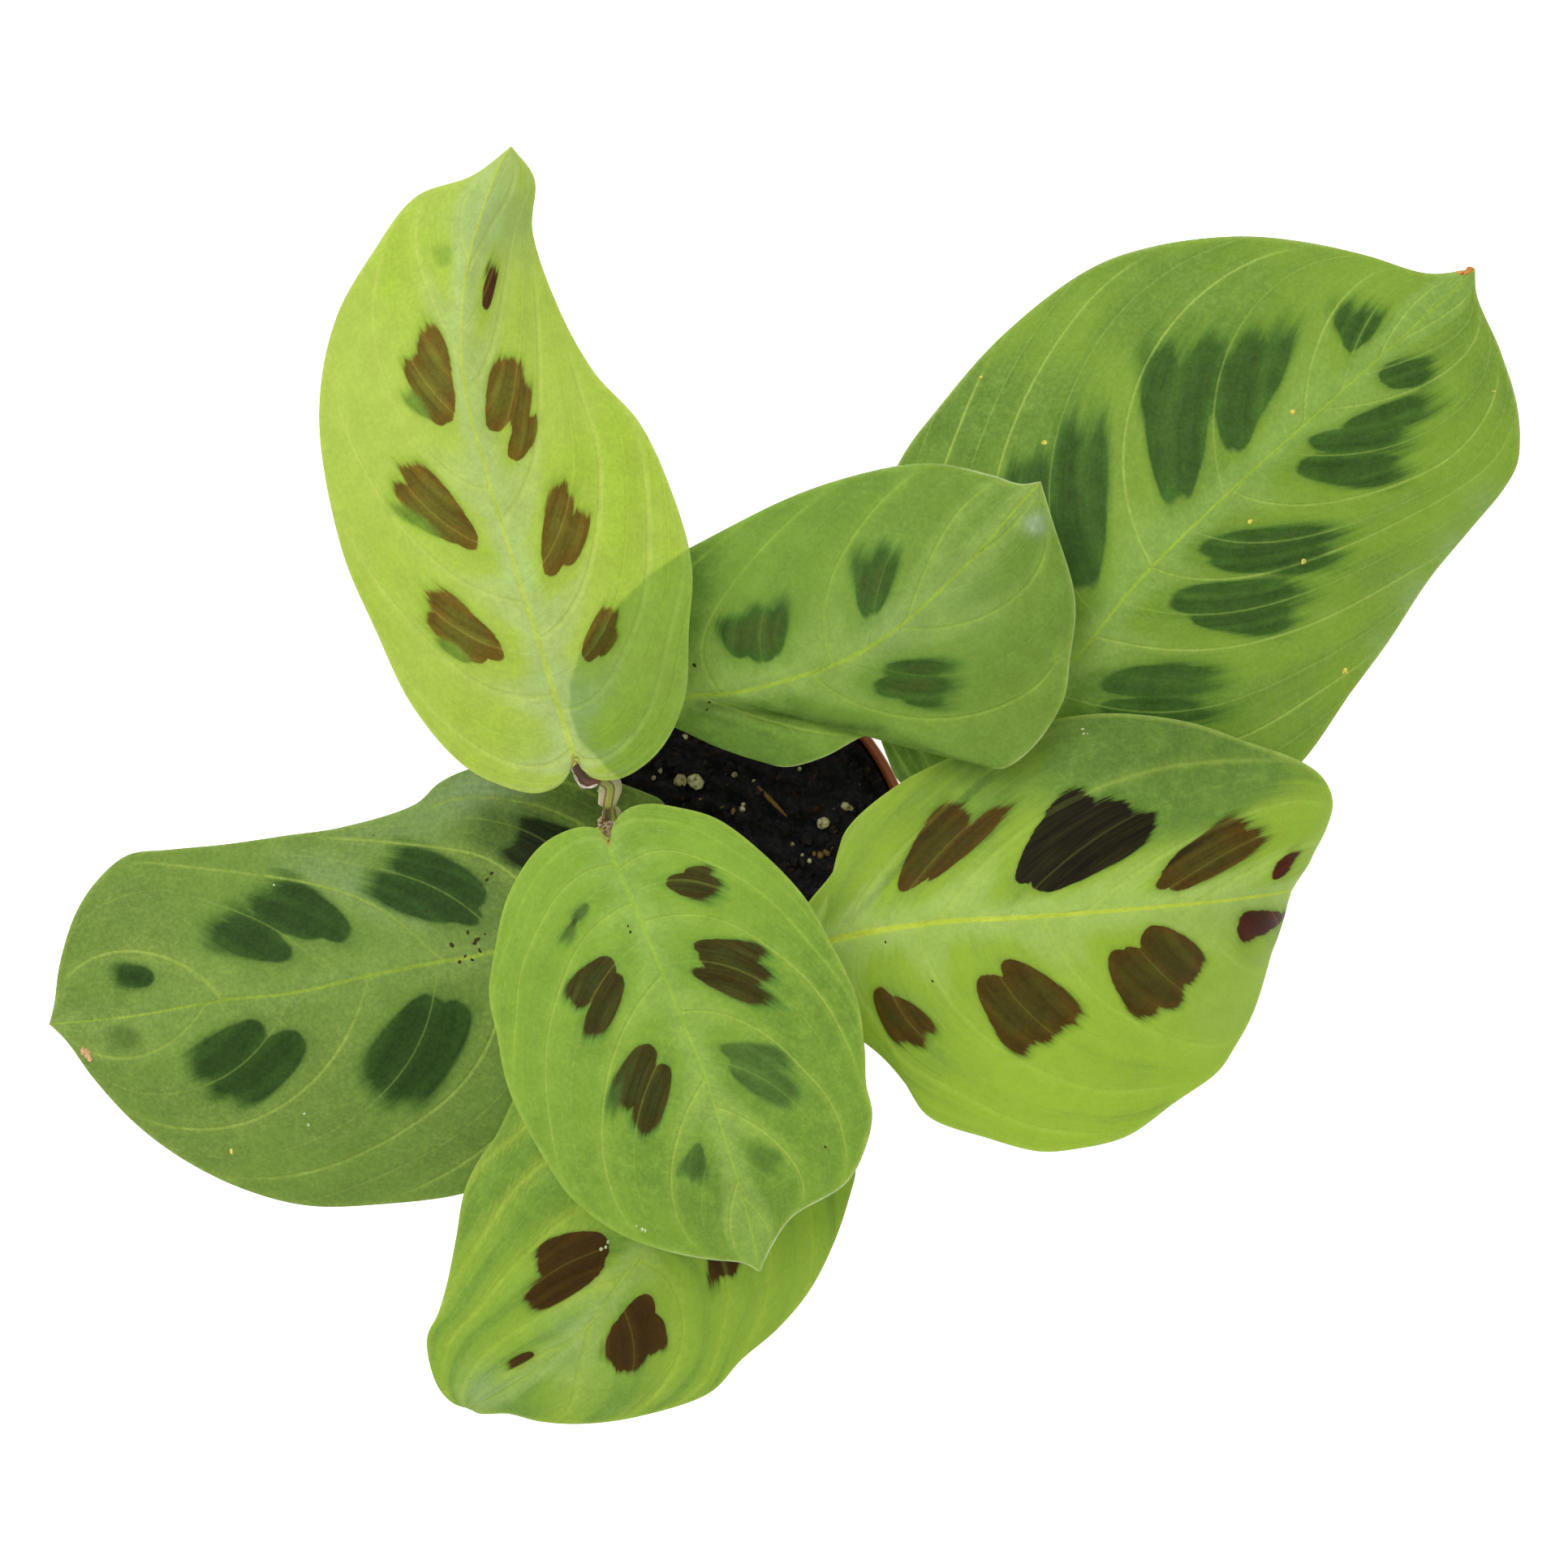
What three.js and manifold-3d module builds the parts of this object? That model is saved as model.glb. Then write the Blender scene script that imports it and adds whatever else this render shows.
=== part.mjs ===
// Potted prayer plant: a young maranta with seven patterned leaves in a round plastic nursery pot.
// Millimetres, +Z up. The origin is the middle of the pot's underside.

import * as THREE from 'three';
import { mergeVertices } from 'three/addons/utils/BufferGeometryUtils.js';
import Module from 'manifold-3d';

const wasm = await Module();
wasm.setup();

// Driving dimensions

const CLEARANCE = 0.3;

const POT = {
  height: 90,
  rimRadius: 50,
  baseRadius: 35,
  wall: 1.2,
  bandHeight: 13,
  bandStep: 1.7,
  lipWall: 1.7,
  footHeight: 1.8,
  segments: 48,
};

const DRAIN = { count: 8, radius: 3.5, ringRadius: 23.5, segments: 14 };

const SOIL = { topHeight: 82, bottomHeight: 3.9, rings: 9, grain: 0.8 };

const BLADE = {
  thickness: 0.6,
  ribDepth: 0.8,
  rows: 20,
  columns: 5,
  ribBias: 1.7,
  backSweep: 0.12,
  edgeWave: 0.9,
};

const LIMB = { sides: 8, stemSteps: 24, stalkSteps: 16 };

// Every outline of the plant is read from straight above, with the eye over VIEW at VIEW.height, on the
// level of the pot's rim. The third number of a point is its own height.
const VIEW = { x: 21.2, y: 20.3, height: 850 };

// Stems: where the middle line runs, and the share of its length at which each swollen joint sits.

const STEMS = [
  {
    name: 'stem_west',
    radius: 1.7,
    line: [
      [1.5, -11.5, 56],
      [0.6, -10.2, 80],
      [-1.4, -7.6, 96],
      [-4.3, -3.6, 110],
      [-10, 3.4, 126],
      [-16.4, 11, 140],
    ],
    joints: [0.36, 0.7, 0.985],
  },
  {
    name: 'stem_east',
    radius: 1.9,
    line: [
      [7, -6.5, 56],
      [7.6, -7.4, 80],
      [9.6, -9.6, 95],
      [12.4, -12, 108],
      [15.2, -13.6, 119],
    ],
    joints: [0.5, 0.72, 0.975],
  },
];

// Leaves, named by where they lie. The midrib runs from the stalk to the tip. Each edge runs from the
// notch at the stalk, round the rounded lobe, to the tip. Left and right are as seen facing the tip.
// The stalk runs from the stem up to the underside of the blade.

const LEAVES = [
  {
    name: 'back_left',
    stem: 'stem_west',
    color: 0xa9cc48,
    midrib: [
      [-23.3, 25.7, 151],
      [-31.4, 51.9, 157],
      [-41.9, 85.9, 161],
      [-46.9, 107, 160],
      [-46.5, 128, 156],
      [-40.2, 149.4, 150],
      [-36.7, 155.7, 147],
    ],
    left: [
      [-23.8, 24.4, 151],
      [-26, 20.5, 150],
      [-31, 18.4, 149],
      [-37, 19.4, 148],
      [-46.5, 24, 147],
      [-57.5, 36.5, 147],
      [-65.5, 53, 148],
      [-73, 71, 149],
      [-77.5, 98, 150],
      [-74, 119, 150],
      [-66, 133.5, 149],
      [-57, 145, 148],
      [-45, 149.5, 148],
      [-36.7, 155.7, 147],
    ],
    right: [
      [-22.4, 25.1, 151],
      [-19.3, 21.6, 150.5],
      [-13.5, 21.5, 150],
      [-5.6, 27, 150],
      [0, 38, 151],
      [1, 53, 152],
      [1.6, 67, 152],
      [-2.9, 83, 151],
      [-9.5, 97, 148],
      [-19.3, 108, 144],
      [-27, 122, 140],
      [-32.3, 138, 140],
      [-31.9, 149, 144],
      [-36.7, 155.7, 147],
    ],
    stalk: [
      [-16.3, 11.1, 139.2],
      [-16.4, 15.6, 143.6],
      [-15.9, 19.8, 145],
      [-17.4, 21, 145.8],
      [-20.6, 20.8, 146.4],
      [-22.4, 23, 147.6],
      [-23.2, 25.6, 149.4],
    ],
    sheath: { reach: 0.55, wing: 1.7 },
    wave: 0.6,
  },
  {
    name: 'back_middle',
    stem: 'stem_west',
    color: 0x6ea03c,
    midrib: [
      [-13.4, 33.8, 133],
      [1.8, 38.7, 136],
      [11.1, 39.6, 138],
      [23.4, 42.7, 140],
      [32.6, 45.8, 141],
      [40.6, 50.1, 142],
      [48, 55.6, 142],
      [56, 63, 140],
      [63.4, 70.4, 137],
      [69.6, 77.8, 134],
      [75.7, 84.5, 130],
    ],
    left: [
      [-14.6, 32.9, 133],
      [-18.6, 29.8, 133],
      [-23.8, 29.9, 133.5],
      [-25.2, 35.2, 134.5],
      [-24.7, 42.1, 136],
      [-21.2, 50.7, 138],
      [-14.3, 58.4, 139],
      [-7.4, 65.6, 139],
      [1.6, 70.7, 138.5],
      [20.3, 80.2, 137],
      [32, 84.6, 135],
      [45.5, 87.9, 133],
      [54.1, 88.3, 132],
      [65.2, 85.9, 130.5],
      [71.4, 84, 130],
      [75.7, 84.5, 130],
    ],
    right: [
      [-12.7, 32.6, 132.5],
      [-8, 33, 132],
      [-0.7, 34.8, 131],
      [9.8, 29.8, 130],
      [16, 25.5, 129],
      [21.6, 24, 128],
      [29.5, 26, 128.5],
      [39.1, 30.7, 130],
      [43.6, 30.3, 131],
      [54.1, 26.7, 130],
      [63.4, 24.2, 129.5],
      [67.8, 23.6, 129.5],
      [74.5, 28.5, 129],
      [80.7, 38.4, 129],
      [81.9, 46.4, 129],
      [83.1, 56.9, 129],
      [82.4, 63, 129],
      [78.1, 76.6, 129.5],
      [75.7, 84.5, 130],
    ],
    stalk: [
      [-10.2, 3.8, 125.4],
      [-14.2, 10.5, 129],
      [-15.8, 16, 131],
      [-15.6, 22, 131.4],
      [-14.8, 28, 130.6],
      [-13.4, 33.4, 131.2],
    ],
    sheath: { reach: 0.4, wing: 0.9 },
    wave: 0.8,
  },
  {
    name: 'back_right',
    stem: 'stem_east',
    color: 0x6e9b37,
    midrib: [
      [56.4, 21.4, 112.5],
      [66.7, 31.7, 114.5],
      [82.6, 46.4, 117],
      [96, 62.8, 118],
      [113.3, 80, 117],
      [130.5, 95.5, 114],
      [147.8, 111, 109],
      [165, 126.6, 102],
      [167.9, 129.8, 100],
    ],
    left: [
      [54.8, 20.8, 112.3],
      [50, 18.9, 111],
      [46, 20.5, 110.5],
      [42.9, 26.6, 110],
      [39.5, 38, 109.5],
      [38.3, 49, 109],
      [40, 69.7, 108.5],
      [45.3, 87.9, 107.5],
      [54.3, 100.6, 106.5],
      [67.9, 115.9, 105],
      [85.9, 129.5, 103.5],
      [99.5, 134.4, 102.5],
      [117.5, 136.7, 102],
      [131, 135.6, 101.5],
      [144.6, 132.6, 101.5],
      [158.1, 128.7, 101],
      [167.9, 129.8, 100],
    ],
    right: [
      [57.4, 19.9, 112],
      [60.5, 15.8, 110.5],
      [66.7, 11.8, 109],
      [75, 9.2, 107.5],
      [84, 8.4, 106],
      [102.9, 11, 103.5],
      [120.2, 17.1, 101],
      [131, 24.8, 99],
      [141.9, 40.2, 97],
      [149.1, 50.1, 96],
      [158.1, 63.6, 95],
      [167.1, 74.5, 95.5],
      [174.3, 83.4, 97],
      [177, 88.9, 98],
      [177, 99.7, 99],
      [173.4, 112.3, 99.5],
      [168.4, 124, 100],
      [167.9, 129.8, 100],
    ],
    stalk: [
      [10.2, -10, 97.5],
      [16.6, -10.6, 103],
      [24, -10.4, 106.5],
      [34, -6.4, 108.6],
      [44.4, 1.4, 109.4],
      [51.6, 11.4, 109.4],
      [54.8, 17.4, 109],
      [56.4, 21.2, 110.7],
    ],
    sheath: { reach: 0.3, wing: 1.2 },
    wave: 1,
  },
  {
    name: 'right',
    stem: 'stem_east',
    color: 0x8db544,
    midrib: [
      [27.1, -15.2, 124.8],
      [31.7, -12.9, 125.5],
      [51.8, -9.3, 128],
      [75.5, -7.8, 128],
      [99.3, -5.9, 124.5],
      [115, -4.4, 118.5],
      [124, -3.2, 113],
      [128.4, -2.4, 104],
      [128.6, -2.6, 94],
      [127.9, -2.8, 84],
    ],
    left: [
      [26.8, -13.8, 124.6],
      [25, -10.6, 124],
      [24.7, -7.6, 123.5],
      [26.5, -4.7, 123],
      [32.1, 2.5, 122],
      [34.4, 10.4, 121],
      [46.3, 20.7, 120],
      [58.1, 26.6, 119],
      [68.4, 31.2, 118.5],
      [78.8, 34.1, 118],
      [91.4, 35.3, 117],
      [107.2, 33.4, 115],
      [119.1, 29.4, 112],
      [131, 25.1, 108],
      [135.7, 21.6, 105],
      [137.7, 16.7, 101],
      [136.6, 11.6, 96.5],
      [132.6, 4, 89],
      [127.9, -2.8, 84],
    ],
    right: [
      [26.4, -16.6, 124.6],
      [25.9, -19.4, 124],
      [27.9, -23.8, 123],
      [33.1, -30.3, 122],
      [42.3, -37.9, 121],
      [47.1, -43.4, 120],
      [51.8, -50.2, 118],
      [64.5, -54.9, 116],
      [75.6, -57.8, 115],
      [83.4, -57.2, 114],
      [93.8, -54.5, 112],
      [104.1, -47.4, 109],
      [113.2, -41, 104],
      [116.9, -35.5, 99],
      [121, -27.6, 93],
      [124.9, -14.9, 87],
      [127.9, -2.8, 84],
    ],
    stalk: [
      [15.2, -13.6, 118.2],
      [20, -15, 121.2],
      [23.4, -15.4, 121.4],
      [25.6, -15.4, 121.6],
      [27.6, -15, 122.55],
    ],
    sheath: { reach: 0.4, wing: 1 },
    wave: 0.8,
  },
  {
    name: 'left',
    stem: 'stem_west',
    color: 0x5c8438,
    midrib: [
      [-11.7, -4.5, 111],
      [-28, -11.9, 113],
      [-44.1, -16.2, 113.5],
      [-52.8, -17.6, 113],
      [-65.9, -20.2, 112],
      [-83.3, -24.1, 109],
      [-97.8, -25.6, 106],
      [-116.7, -28.9, 100.5],
      [-134.8, -30.7, 94],
    ],
    left: [
      [-10.9, -6, 110.8],
      [-9.1, -9.7, 110.5],
      [-8.3, -20, 109],
      [-12.6, -35.5, 107],
      [-22.9, -51, 105],
      [-35, -61.4, 102.5],
      [-46.7, -66.6, 100.5],
      [-65.9, -69.1, 98.5],
      [-80.4, -69.1, 97.5],
      [-94.9, -65.2, 96.5],
      [-107.2, -59, 96],
      [-116.7, -51.7, 95.5],
      [-125.4, -42.2, 95],
      [-131.2, -34.3, 94.5],
      [-134.8, -30.7, 94],
    ],
    right: [
      [-11.2, -3, 110.8],
      [-9.3, 1.4, 110.5],
      [-5.2, 8, 110],
      [-3, 12.8, 109.5],
      [-4.6, 16.6, 109],
      [-9.1, 18.8, 108.5],
      [-13.1, 20.3, 108],
      [-19.5, 23.1, 107.5],
      [-28.1, 25.3, 107],
      [-36.7, 25.2, 106],
      [-45.9, 23.4, 104],
      [-52.1, 20.5, 101.5],
      [-57.2, 16, 99],
      [-73.1, 11, 96],
      [-84, 9.4, 95],
      [-97.8, 7.4, 94.5],
      [-109.5, 6.3, 94.5],
      [-118.1, 5.2, 95],
      [-124, 0.5, 96],
      [-129, -6.7, 96.5],
      [-132.6, -17.6, 96],
      [-133.8, -26.3, 95],
      [-134.8, -30.7, 94],
    ],
    stalk: [
      [-1.2, -8, 94.5],
      [-6.6, -10, 100],
      [-9.2, -8.4, 104.5],
      [-10.8, -6, 107],
      [-12.2, -4.6, 109.15],
    ],
    sheath: { reach: 0.5, wing: 1.2 },
    wave: 0.8,
  },
  {
    name: 'middle',
    stem: 'stem_west',
    stalkBeside: 'back_left',
    color: 0x86ae3c,
    midrib: [
      [-16, 7.6, 149],
      [-15.2, 4.6, 149.6],
      [-10.5, -5.7, 151],
      [-5.4, -17.9, 152],
      [-1.1, -28.1, 151],
      [4, -40.5, 149],
      [8.4, -54.3, 145.5],
      [12, -65.9, 141.5],
      [15.6, -80.3, 136],
      [16, -83.3, 134.5],
    ],
    left: [
      [-15.6, 9, 149],
      [-14.7, 12.2, 148.5],
      [-12, 15, 148],
      [-7.6, 16.1, 147.5],
      [-1.8, 15.4, 147],
      [6.9, 12.9, 146],
      [17.1, 5.2, 145],
      [25.8, -4.1, 144],
      [31.6, -14.3, 142.5],
      [36.7, -25.2, 141],
      [38.3, -36, 140],
      [38.6, -43.4, 139.5],
      [39.9, -49.5, 139],
      [38.8, -56, 138],
      [34.5, -64.4, 137],
      [22.9, -71.7, 135.5],
      [18.4, -78.2, 135],
      [16, -83.3, 134.5],
    ],
    right: [
      [-16.6, 8.8, 149],
      [-17.8, 10.4, 148.5],
      [-20.6, 11.2, 148],
      [-24.6, 10.5, 147],
      [-30.9, 6.7, 145.5],
      [-37.4, -3.4, 144],
      [-40.3, -15.8, 142.5],
      [-41.4, -24.5, 141.5],
      [-39.9, -32.5, 140.5],
      [-37.4, -44.1, 139.5],
      [-30.9, -57.2, 138],
      [-24.3, -67.3, 137],
      [-14.1, -75, 136],
      [-3.3, -79, 135.5],
      [5.4, -80.7, 135],
      [12.7, -81.5, 134.5],
      [16, -83.3, 134.5],
    ],
    stalk: [
      [-16.5, 10.8, 139.2],
      [-18.6, 9.8, 142.2],
      [-18.2, 9, 145],
      [-16.3, 7.7, 147.3],
    ],
    sheath: { reach: 0.3, wing: 0.3 },
    wave: 0.7,
  },
  {
    name: 'front',
    stem: 'stem_east',
    color: 0x87ad3e,
    midrib: [
      [8, -36, 116],
      [3.2, -46.5, 118],
      [-1.4, -57.9, 119],
      [-8.3, -77.4, 117],
      [-12.9, -84.7, 115],
      [-22.2, -96.6, 110.5],
      [-33.3, -105.3, 105.5],
      [-45.6, -112.4, 100],
    ],
    left: [
      [9, -34.9, 116],
      [12.4, -32.2, 115.6],
      [18.4, -32.4, 115],
      [28.8, -39, 114],
      [35, -50, 112],
      [36.4, -61.7, 110],
      [35.2, -66.9, 109],
      [31.9, -76.8, 107],
      [26.6, -87.4, 105],
      [20, -95.3, 103.5],
      [12.1, -101.9, 102],
      [5.5, -108.8, 100],
      [-9.7, -114.1, 98.5],
      [-21.6, -115.6, 98],
      [-30.8, -115, 98],
      [-37.4, -113.4, 98.5],
      [-43.6, -113.4, 99.5],
      [-45.6, -112.4, 100],
    ],
    right: [
      [6.8, -34.9, 116],
      [2.6, -31, 115.6],
      [-9.1, -28.6, 115.2],
      [-24.7, -35.5, 114.6],
      [-34.1, -43.3, 114],
      [-40, -54.4, 113],
      [-44, -60.3, 112],
      [-46.6, -66.2, 111],
      [-48.6, -76.8, 109],
      [-50.6, -86.7, 107],
      [-52.2, -92, 106],
      [-54.6, -97.5, 104.5],
      [-52.6, -107.2, 102],
      [-49.3, -111.1, 101],
      [-45.6, -112.4, 100],
    ],
    stalk: [
      [11.6, -11.8, 104.5],
      [12.6, -18, 109.4],
      [11.6, -24, 111.4],
      [9.8, -30.6, 112],
      [8.4, -34, 112.6],
      [7.8, -36.6, 113.7],
    ],
    sheath: { reach: 0.4, wing: 1 },
    wave: 1,
  },
];

// Places and curves

function place([x, y, height]) {
  const scale = (VIEW.height - height) / (VIEW.height - POT.height);
  return new THREE.Vector3(VIEW.x + (x - VIEW.x) * scale, VIEW.y + (y - VIEW.y) * scale, height);
}

function curveThrough(points) {
  return new THREE.CatmullRomCurve3(points.map(place), false, 'centripetal');
}

// Closed meshes and solids

function geometryOf(positions, triangles) {
  const geometry = new THREE.BufferGeometry();
  geometry.setAttribute('position', new THREE.Float32BufferAttribute(positions, 3));
  geometry.setIndex(triangles);
  return geometry;
}

function solidOf(geometry) {
  const bare = geometry.clone();
  bare.deleteAttribute('normal');
  bare.deleteAttribute('uv');
  const merged = mergeVertices(bare, 1e-4);
  const vertProperties = new Float32Array(merged.attributes.position.array);
  const triVerts = new Uint32Array(merged.index.array);
  return new wasm.Manifold(new wasm.Mesh({ numProp: 3, vertProperties, triVerts }));
}

function geometryOfSolid(solid) {
  const mesh = solid.getMesh();
  return geometryOf(Array.from(mesh.vertProperties), Array.from(mesh.triVerts));
}

function named(name, geometry, color, roughness) {
  const mesh = new THREE.Mesh(geometry, new THREE.MeshStandardMaterial({ color, roughness, metalness: 0 }));
  mesh.name = name;
  return mesh;
}

// Limbs: rings of a round section along a curve. The section is widened on both sides by wingAt, in the
// direction that is level and square to the run.

function limb(points, radiusAt, wingAt, steps) {
  const curve = curveThrough(points);
  const run = curve.getPoint(1).sub(curve.getPoint(0));
  const level = new THREE.Vector3(run.y, -run.x, 0).normalize();
  const positions = [];
  const triangles = [];
  const sides = LIMB.sides;
  for (let i = 0; i <= steps; i += 1) {
    const t = i / steps;
    const centre = curve.getPointAt(t);
    const along = curve.getTangentAt(t);
    const across = level.clone().addScaledVector(along, -level.dot(along)).normalize();
    const over = new THREE.Vector3().crossVectors(along, across);
    for (let j = 0; j < sides; j += 1) {
      const angle = (j / sides) * 2 * Math.PI;
      const point = centre.clone();
      point.addScaledVector(across, Math.cos(angle) * (radiusAt(t) + wingAt(t)));
      point.addScaledVector(over, Math.sin(angle) * radiusAt(t));
      positions.push(point.x, point.y, point.z);
    }
  }
  const first = positions.length / 3;
  const start = curve.getPoint(0);
  const end = curve.getPoint(1);
  positions.push(start.x, start.y, start.z, end.x, end.y, end.z);
  for (let j = 0; j < sides; j += 1) {
    const next = (j + 1) % sides;
    triangles.push(first, next, j);
    triangles.push(first + 1, steps * sides + j, steps * sides + next);
    for (let i = 0; i < steps; i += 1) {
      const low = i * sides;
      const high = low + sides;
      triangles.push(low + j, low + next, high + next, low + j, high + next, high + j);
    }
  }
  return geometryOf(positions, triangles);
}

function bump(t, centre, width) {
  return Math.exp(-(((t - centre) / width) ** 2));
}

// A stem tapers upwards and swells at each joint. With room around it, it is the tool for what must keep
// clear of it.

function stemGeometry(stem, room) {
  const swelling = (t) => stem.joints.reduce((sum, joint) => sum + 0.45 * bump(t, joint, 0.025), 0);
  const radiusAt = (t) => stem.radius * (1.08 - 0.2 * t) + swelling(t) + room;
  const line = stem.line.map((point) => [...point]);
  line[0][2] -= room;
  line[line.length - 1][2] += room;
  return limb(line, radiusAt, () => 0, LIMB.stemSteps);
}

// A stalk is winged where the sheath clasps it, slim above, and thickened in the joint under the blade.
// Its foot is cut to the round of the stem, and of the stalk that leaves the same joint.

function stalkLimb(leaf, room) {
  const wingAt = (t) => leaf.sheath.wing * bump(t, leaf.sheath.reach * 0.75, leaf.sheath.reach * 0.4);
  const radiusAt = (t) => 1 + 0.25 * bump(t, 0.86, 0.12) + 0.2 * bump(t, 0, 0.15) + room;
  return solidOf(limb(leaf.stalk, radiusAt, wingAt, LIMB.stalkSteps));
}

function stalkGeometry(leaf) {
  const stem = STEMS.find(({ name }) => name === leaf.stem);
  let stalk = stalkLimb(leaf, 0).subtract(solidOf(stemGeometry(stem, CLEARANCE)));
  if (leaf.stalkBeside) {
    const beside = LEAVES.find(({ name }) => name === leaf.stalkBeside);
    stalk = stalk.subtract(stalkLimb(beside, CLEARANCE));
  }
  return geometryOfSolid(stalk);
}

// Blade surface: for s from 0 at the notch to 1 at the tip and u from -1 at the left edge to 1 at the
// right edge, a quadratic arc runs from the midrib to the edge. The arc's middle lies a little back
// towards the stalk and above the chord, so each half is crowned. The edge waves up and down.

function bladeSurface(leaf) {
  const midrib = curveThrough(leaf.midrib);
  const edges = { left: curveThrough(leaf.left), right: curveThrough(leaf.right) };
  return (s, u) => {
    const share = s ** BLADE.ribBias;
    const r = Math.abs(u);
    const inner = midrib.getPointAt(share);
    const outer = (u < 0 ? edges.left : edges.right).getPointAt(s);
    const reach = inner.distanceTo(outer);
    const middle = inner.clone().add(outer).multiplyScalar(0.5);
    middle.addScaledVector(midrib.getTangentAt(share), -BLADE.backSweep * reach);
    middle.z += 0.07 * reach;
    const point = inner.multiplyScalar((1 - r) ** 2);
    point.addScaledVector(middle, 2 * r * (1 - r));
    point.addScaledVector(outer, r * r);
    const turns = u < 0 ? 3.5 : 4;
    point.z += BLADE.edgeWave * leaf.wave * r * r * Math.sin(Math.PI * s) * Math.sin(2 * Math.PI * turns * s);
    return point;
  };
}

// Blade: the surface's grid is offset both ways along its normals and joined round the edge. The midrib
// stands proud of the underside.

function bladeGeometry(leaf) {
  const surface = bladeSurface(leaf);
  const columns = 2 * BLADE.columns;
  const tip = BLADE.rows * (columns + 1);
  const index = (row, column) => (row === BLADE.rows ? tip : row * (columns + 1) + column);
  const points = [];
  for (let row = 0; row < BLADE.rows; row += 1) {
    for (let column = 0; column <= columns; column += 1) {
      points.push(surface(row / BLADE.rows, column / BLADE.columns - 1));
    }
  }
  points.push(surface(1, 0));

  const faces = [];
  for (let row = 0; row < BLADE.rows; row += 1) {
    for (let column = 0; column < columns; column += 1) {
      const near = index(row, column);
      const nearRight = index(row, column + 1);
      const far = index(row + 1, column);
      const farRight = index(row + 1, column + 1);
      if (column < BLADE.columns) {
        faces.push([near, nearRight, far], [nearRight, farRight, far]);
      } else {
        faces.push([near, nearRight, farRight], [near, farRight, far]);
      }
    }
  }
  const whole = faces.filter(([a, b, c]) => a !== b && b !== c && c !== a);

  const normals = points.map(() => new THREE.Vector3());
  whole.forEach(([a, b, c]) => {
    const ab = points[b].clone().sub(points[a]);
    const ac = points[c].clone().sub(points[a]);
    const normal = ab.cross(ac);
    [a, b, c].forEach((corner) => normals[corner].add(normal));
  });

  const positions = [];
  const offset = (sign) => {
    points.forEach((point, i) => {
      const row = Math.floor(i / (columns + 1));
      const onRib = i !== tip && i % (columns + 1) === BLADE.columns;
      const rib = onRib && sign < 0 ? BLADE.ribDepth * (1 - row / BLADE.rows) : 0;
      const moved = point.clone().addScaledVector(normals[i].clone().normalize(), sign * (BLADE.thickness / 2 + rib));
      positions.push(moved.x, moved.y, moved.z);
    });
  };
  offset(1);
  offset(-1);

  const under = points.length;
  const triangles = [];
  whole.forEach(([a, b, c]) => triangles.push(a, b, c, under + c, under + b, under + a));
  const rim = [];
  for (let column = 0; column <= columns; column += 1) {
    rim.push(index(0, column));
  }
  for (let row = 1; row <= BLADE.rows; row += 1) {
    rim.push(index(row, columns));
  }
  for (let row = BLADE.rows - 1; row > 0; row -= 1) {
    rim.push(index(row, 0));
  }
  rim.forEach((from, i) => {
    const to = rim[(i + 1) % rim.length];
    triangles.push(from, under + from, under + to, from, under + to, to);
  });
  return geometryOf(positions, triangles);
}

// Pot: a thin tapered wall, a stepped rim band with a thicker lip, and a floor that stands on a centre
// disc and a foot ring, with round drain holes between them.

const shoulderHeight = POT.height - POT.bandHeight;
const lipRadius = POT.rimRadius - 0.3;
const bandRadius = POT.rimRadius - 1.1;
const shoulderRadius = bandRadius - POT.bandStep;
const innerShoulder = shoulderRadius - POT.wall;
const innerBand = bandRadius - POT.wall;
const innerFoot = POT.baseRadius - POT.wall;

function potGeometry() {
  const { height, rimRadius, baseRadius, wall, lipWall, footHeight } = POT;
  const profile = [
    [0, 0],
    [15.5, 0],
    [17, footHeight],
    [30, footHeight],
    [31, 0],
    [baseRadius - 1.2, 0],
    [baseRadius, 1.2],
    [shoulderRadius, shoulderHeight - 1.4],
    [bandRadius - 0.3, shoulderHeight],
    [bandRadius, shoulderHeight + 1],
    [rimRadius - 0.5, height - 3.2],
    [rimRadius, height - 2.4],
    [rimRadius, height - 0.7],
    [lipRadius, height],
    [rimRadius - lipWall + 0.4, height],
    [rimRadius - lipWall, height - 0.5],
    [rimRadius - lipWall - 0.2, height - 3],
    [innerBand, shoulderHeight + 1.2],
    [innerShoulder, shoulderHeight - 1.2],
    [innerFoot, 3.2],
    [innerFoot - 1.6, wall + 0.2],
    [31.4, wall + 0.2],
    [30.4, footHeight + wall],
    [16.4, footHeight + wall],
    [14.8, wall + 0.2],
    [0, wall + 0.2],
  ];
  const lathe = new THREE.LatheGeometry(
    profile.map(([radius, level]) => new THREE.Vector2(radius, level)),
    POT.segments,
  );
  lathe.rotateX(Math.PI / 2);
  let pot = solidOf(lathe);
  for (let i = 0; i < DRAIN.count; i += 1) {
    const angle = ((i + 0.5) / DRAIN.count) * 2 * Math.PI;
    const hole = new THREE.CylinderGeometry(DRAIN.radius, DRAIN.radius, 12, DRAIN.segments);
    hole.rotateX(Math.PI / 2);
    hole.translate(DRAIN.ringRadius * Math.cos(angle), DRAIN.ringRadius * Math.sin(angle), 0);
    pot = pot.subtract(solidOf(hole));
  }
  return geometryOfSolid(pot);
}

// Soil: fills the pot to just under the lip. Grains stand out of its top by crossed waves, and each stem
// has a plain hole.

function grainHeight(x, y) {
  const lumps = Math.sin(0.61 * x + 0.9) * Math.cos(0.53 * y - 0.4) + Math.sin(1.13 * y + 0.37 * x);
  const dish = -1.2 * Math.cos((Math.hypot(x, y) / innerBand) * Math.PI);
  return SOIL.grain * lumps + dish;
}

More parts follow.
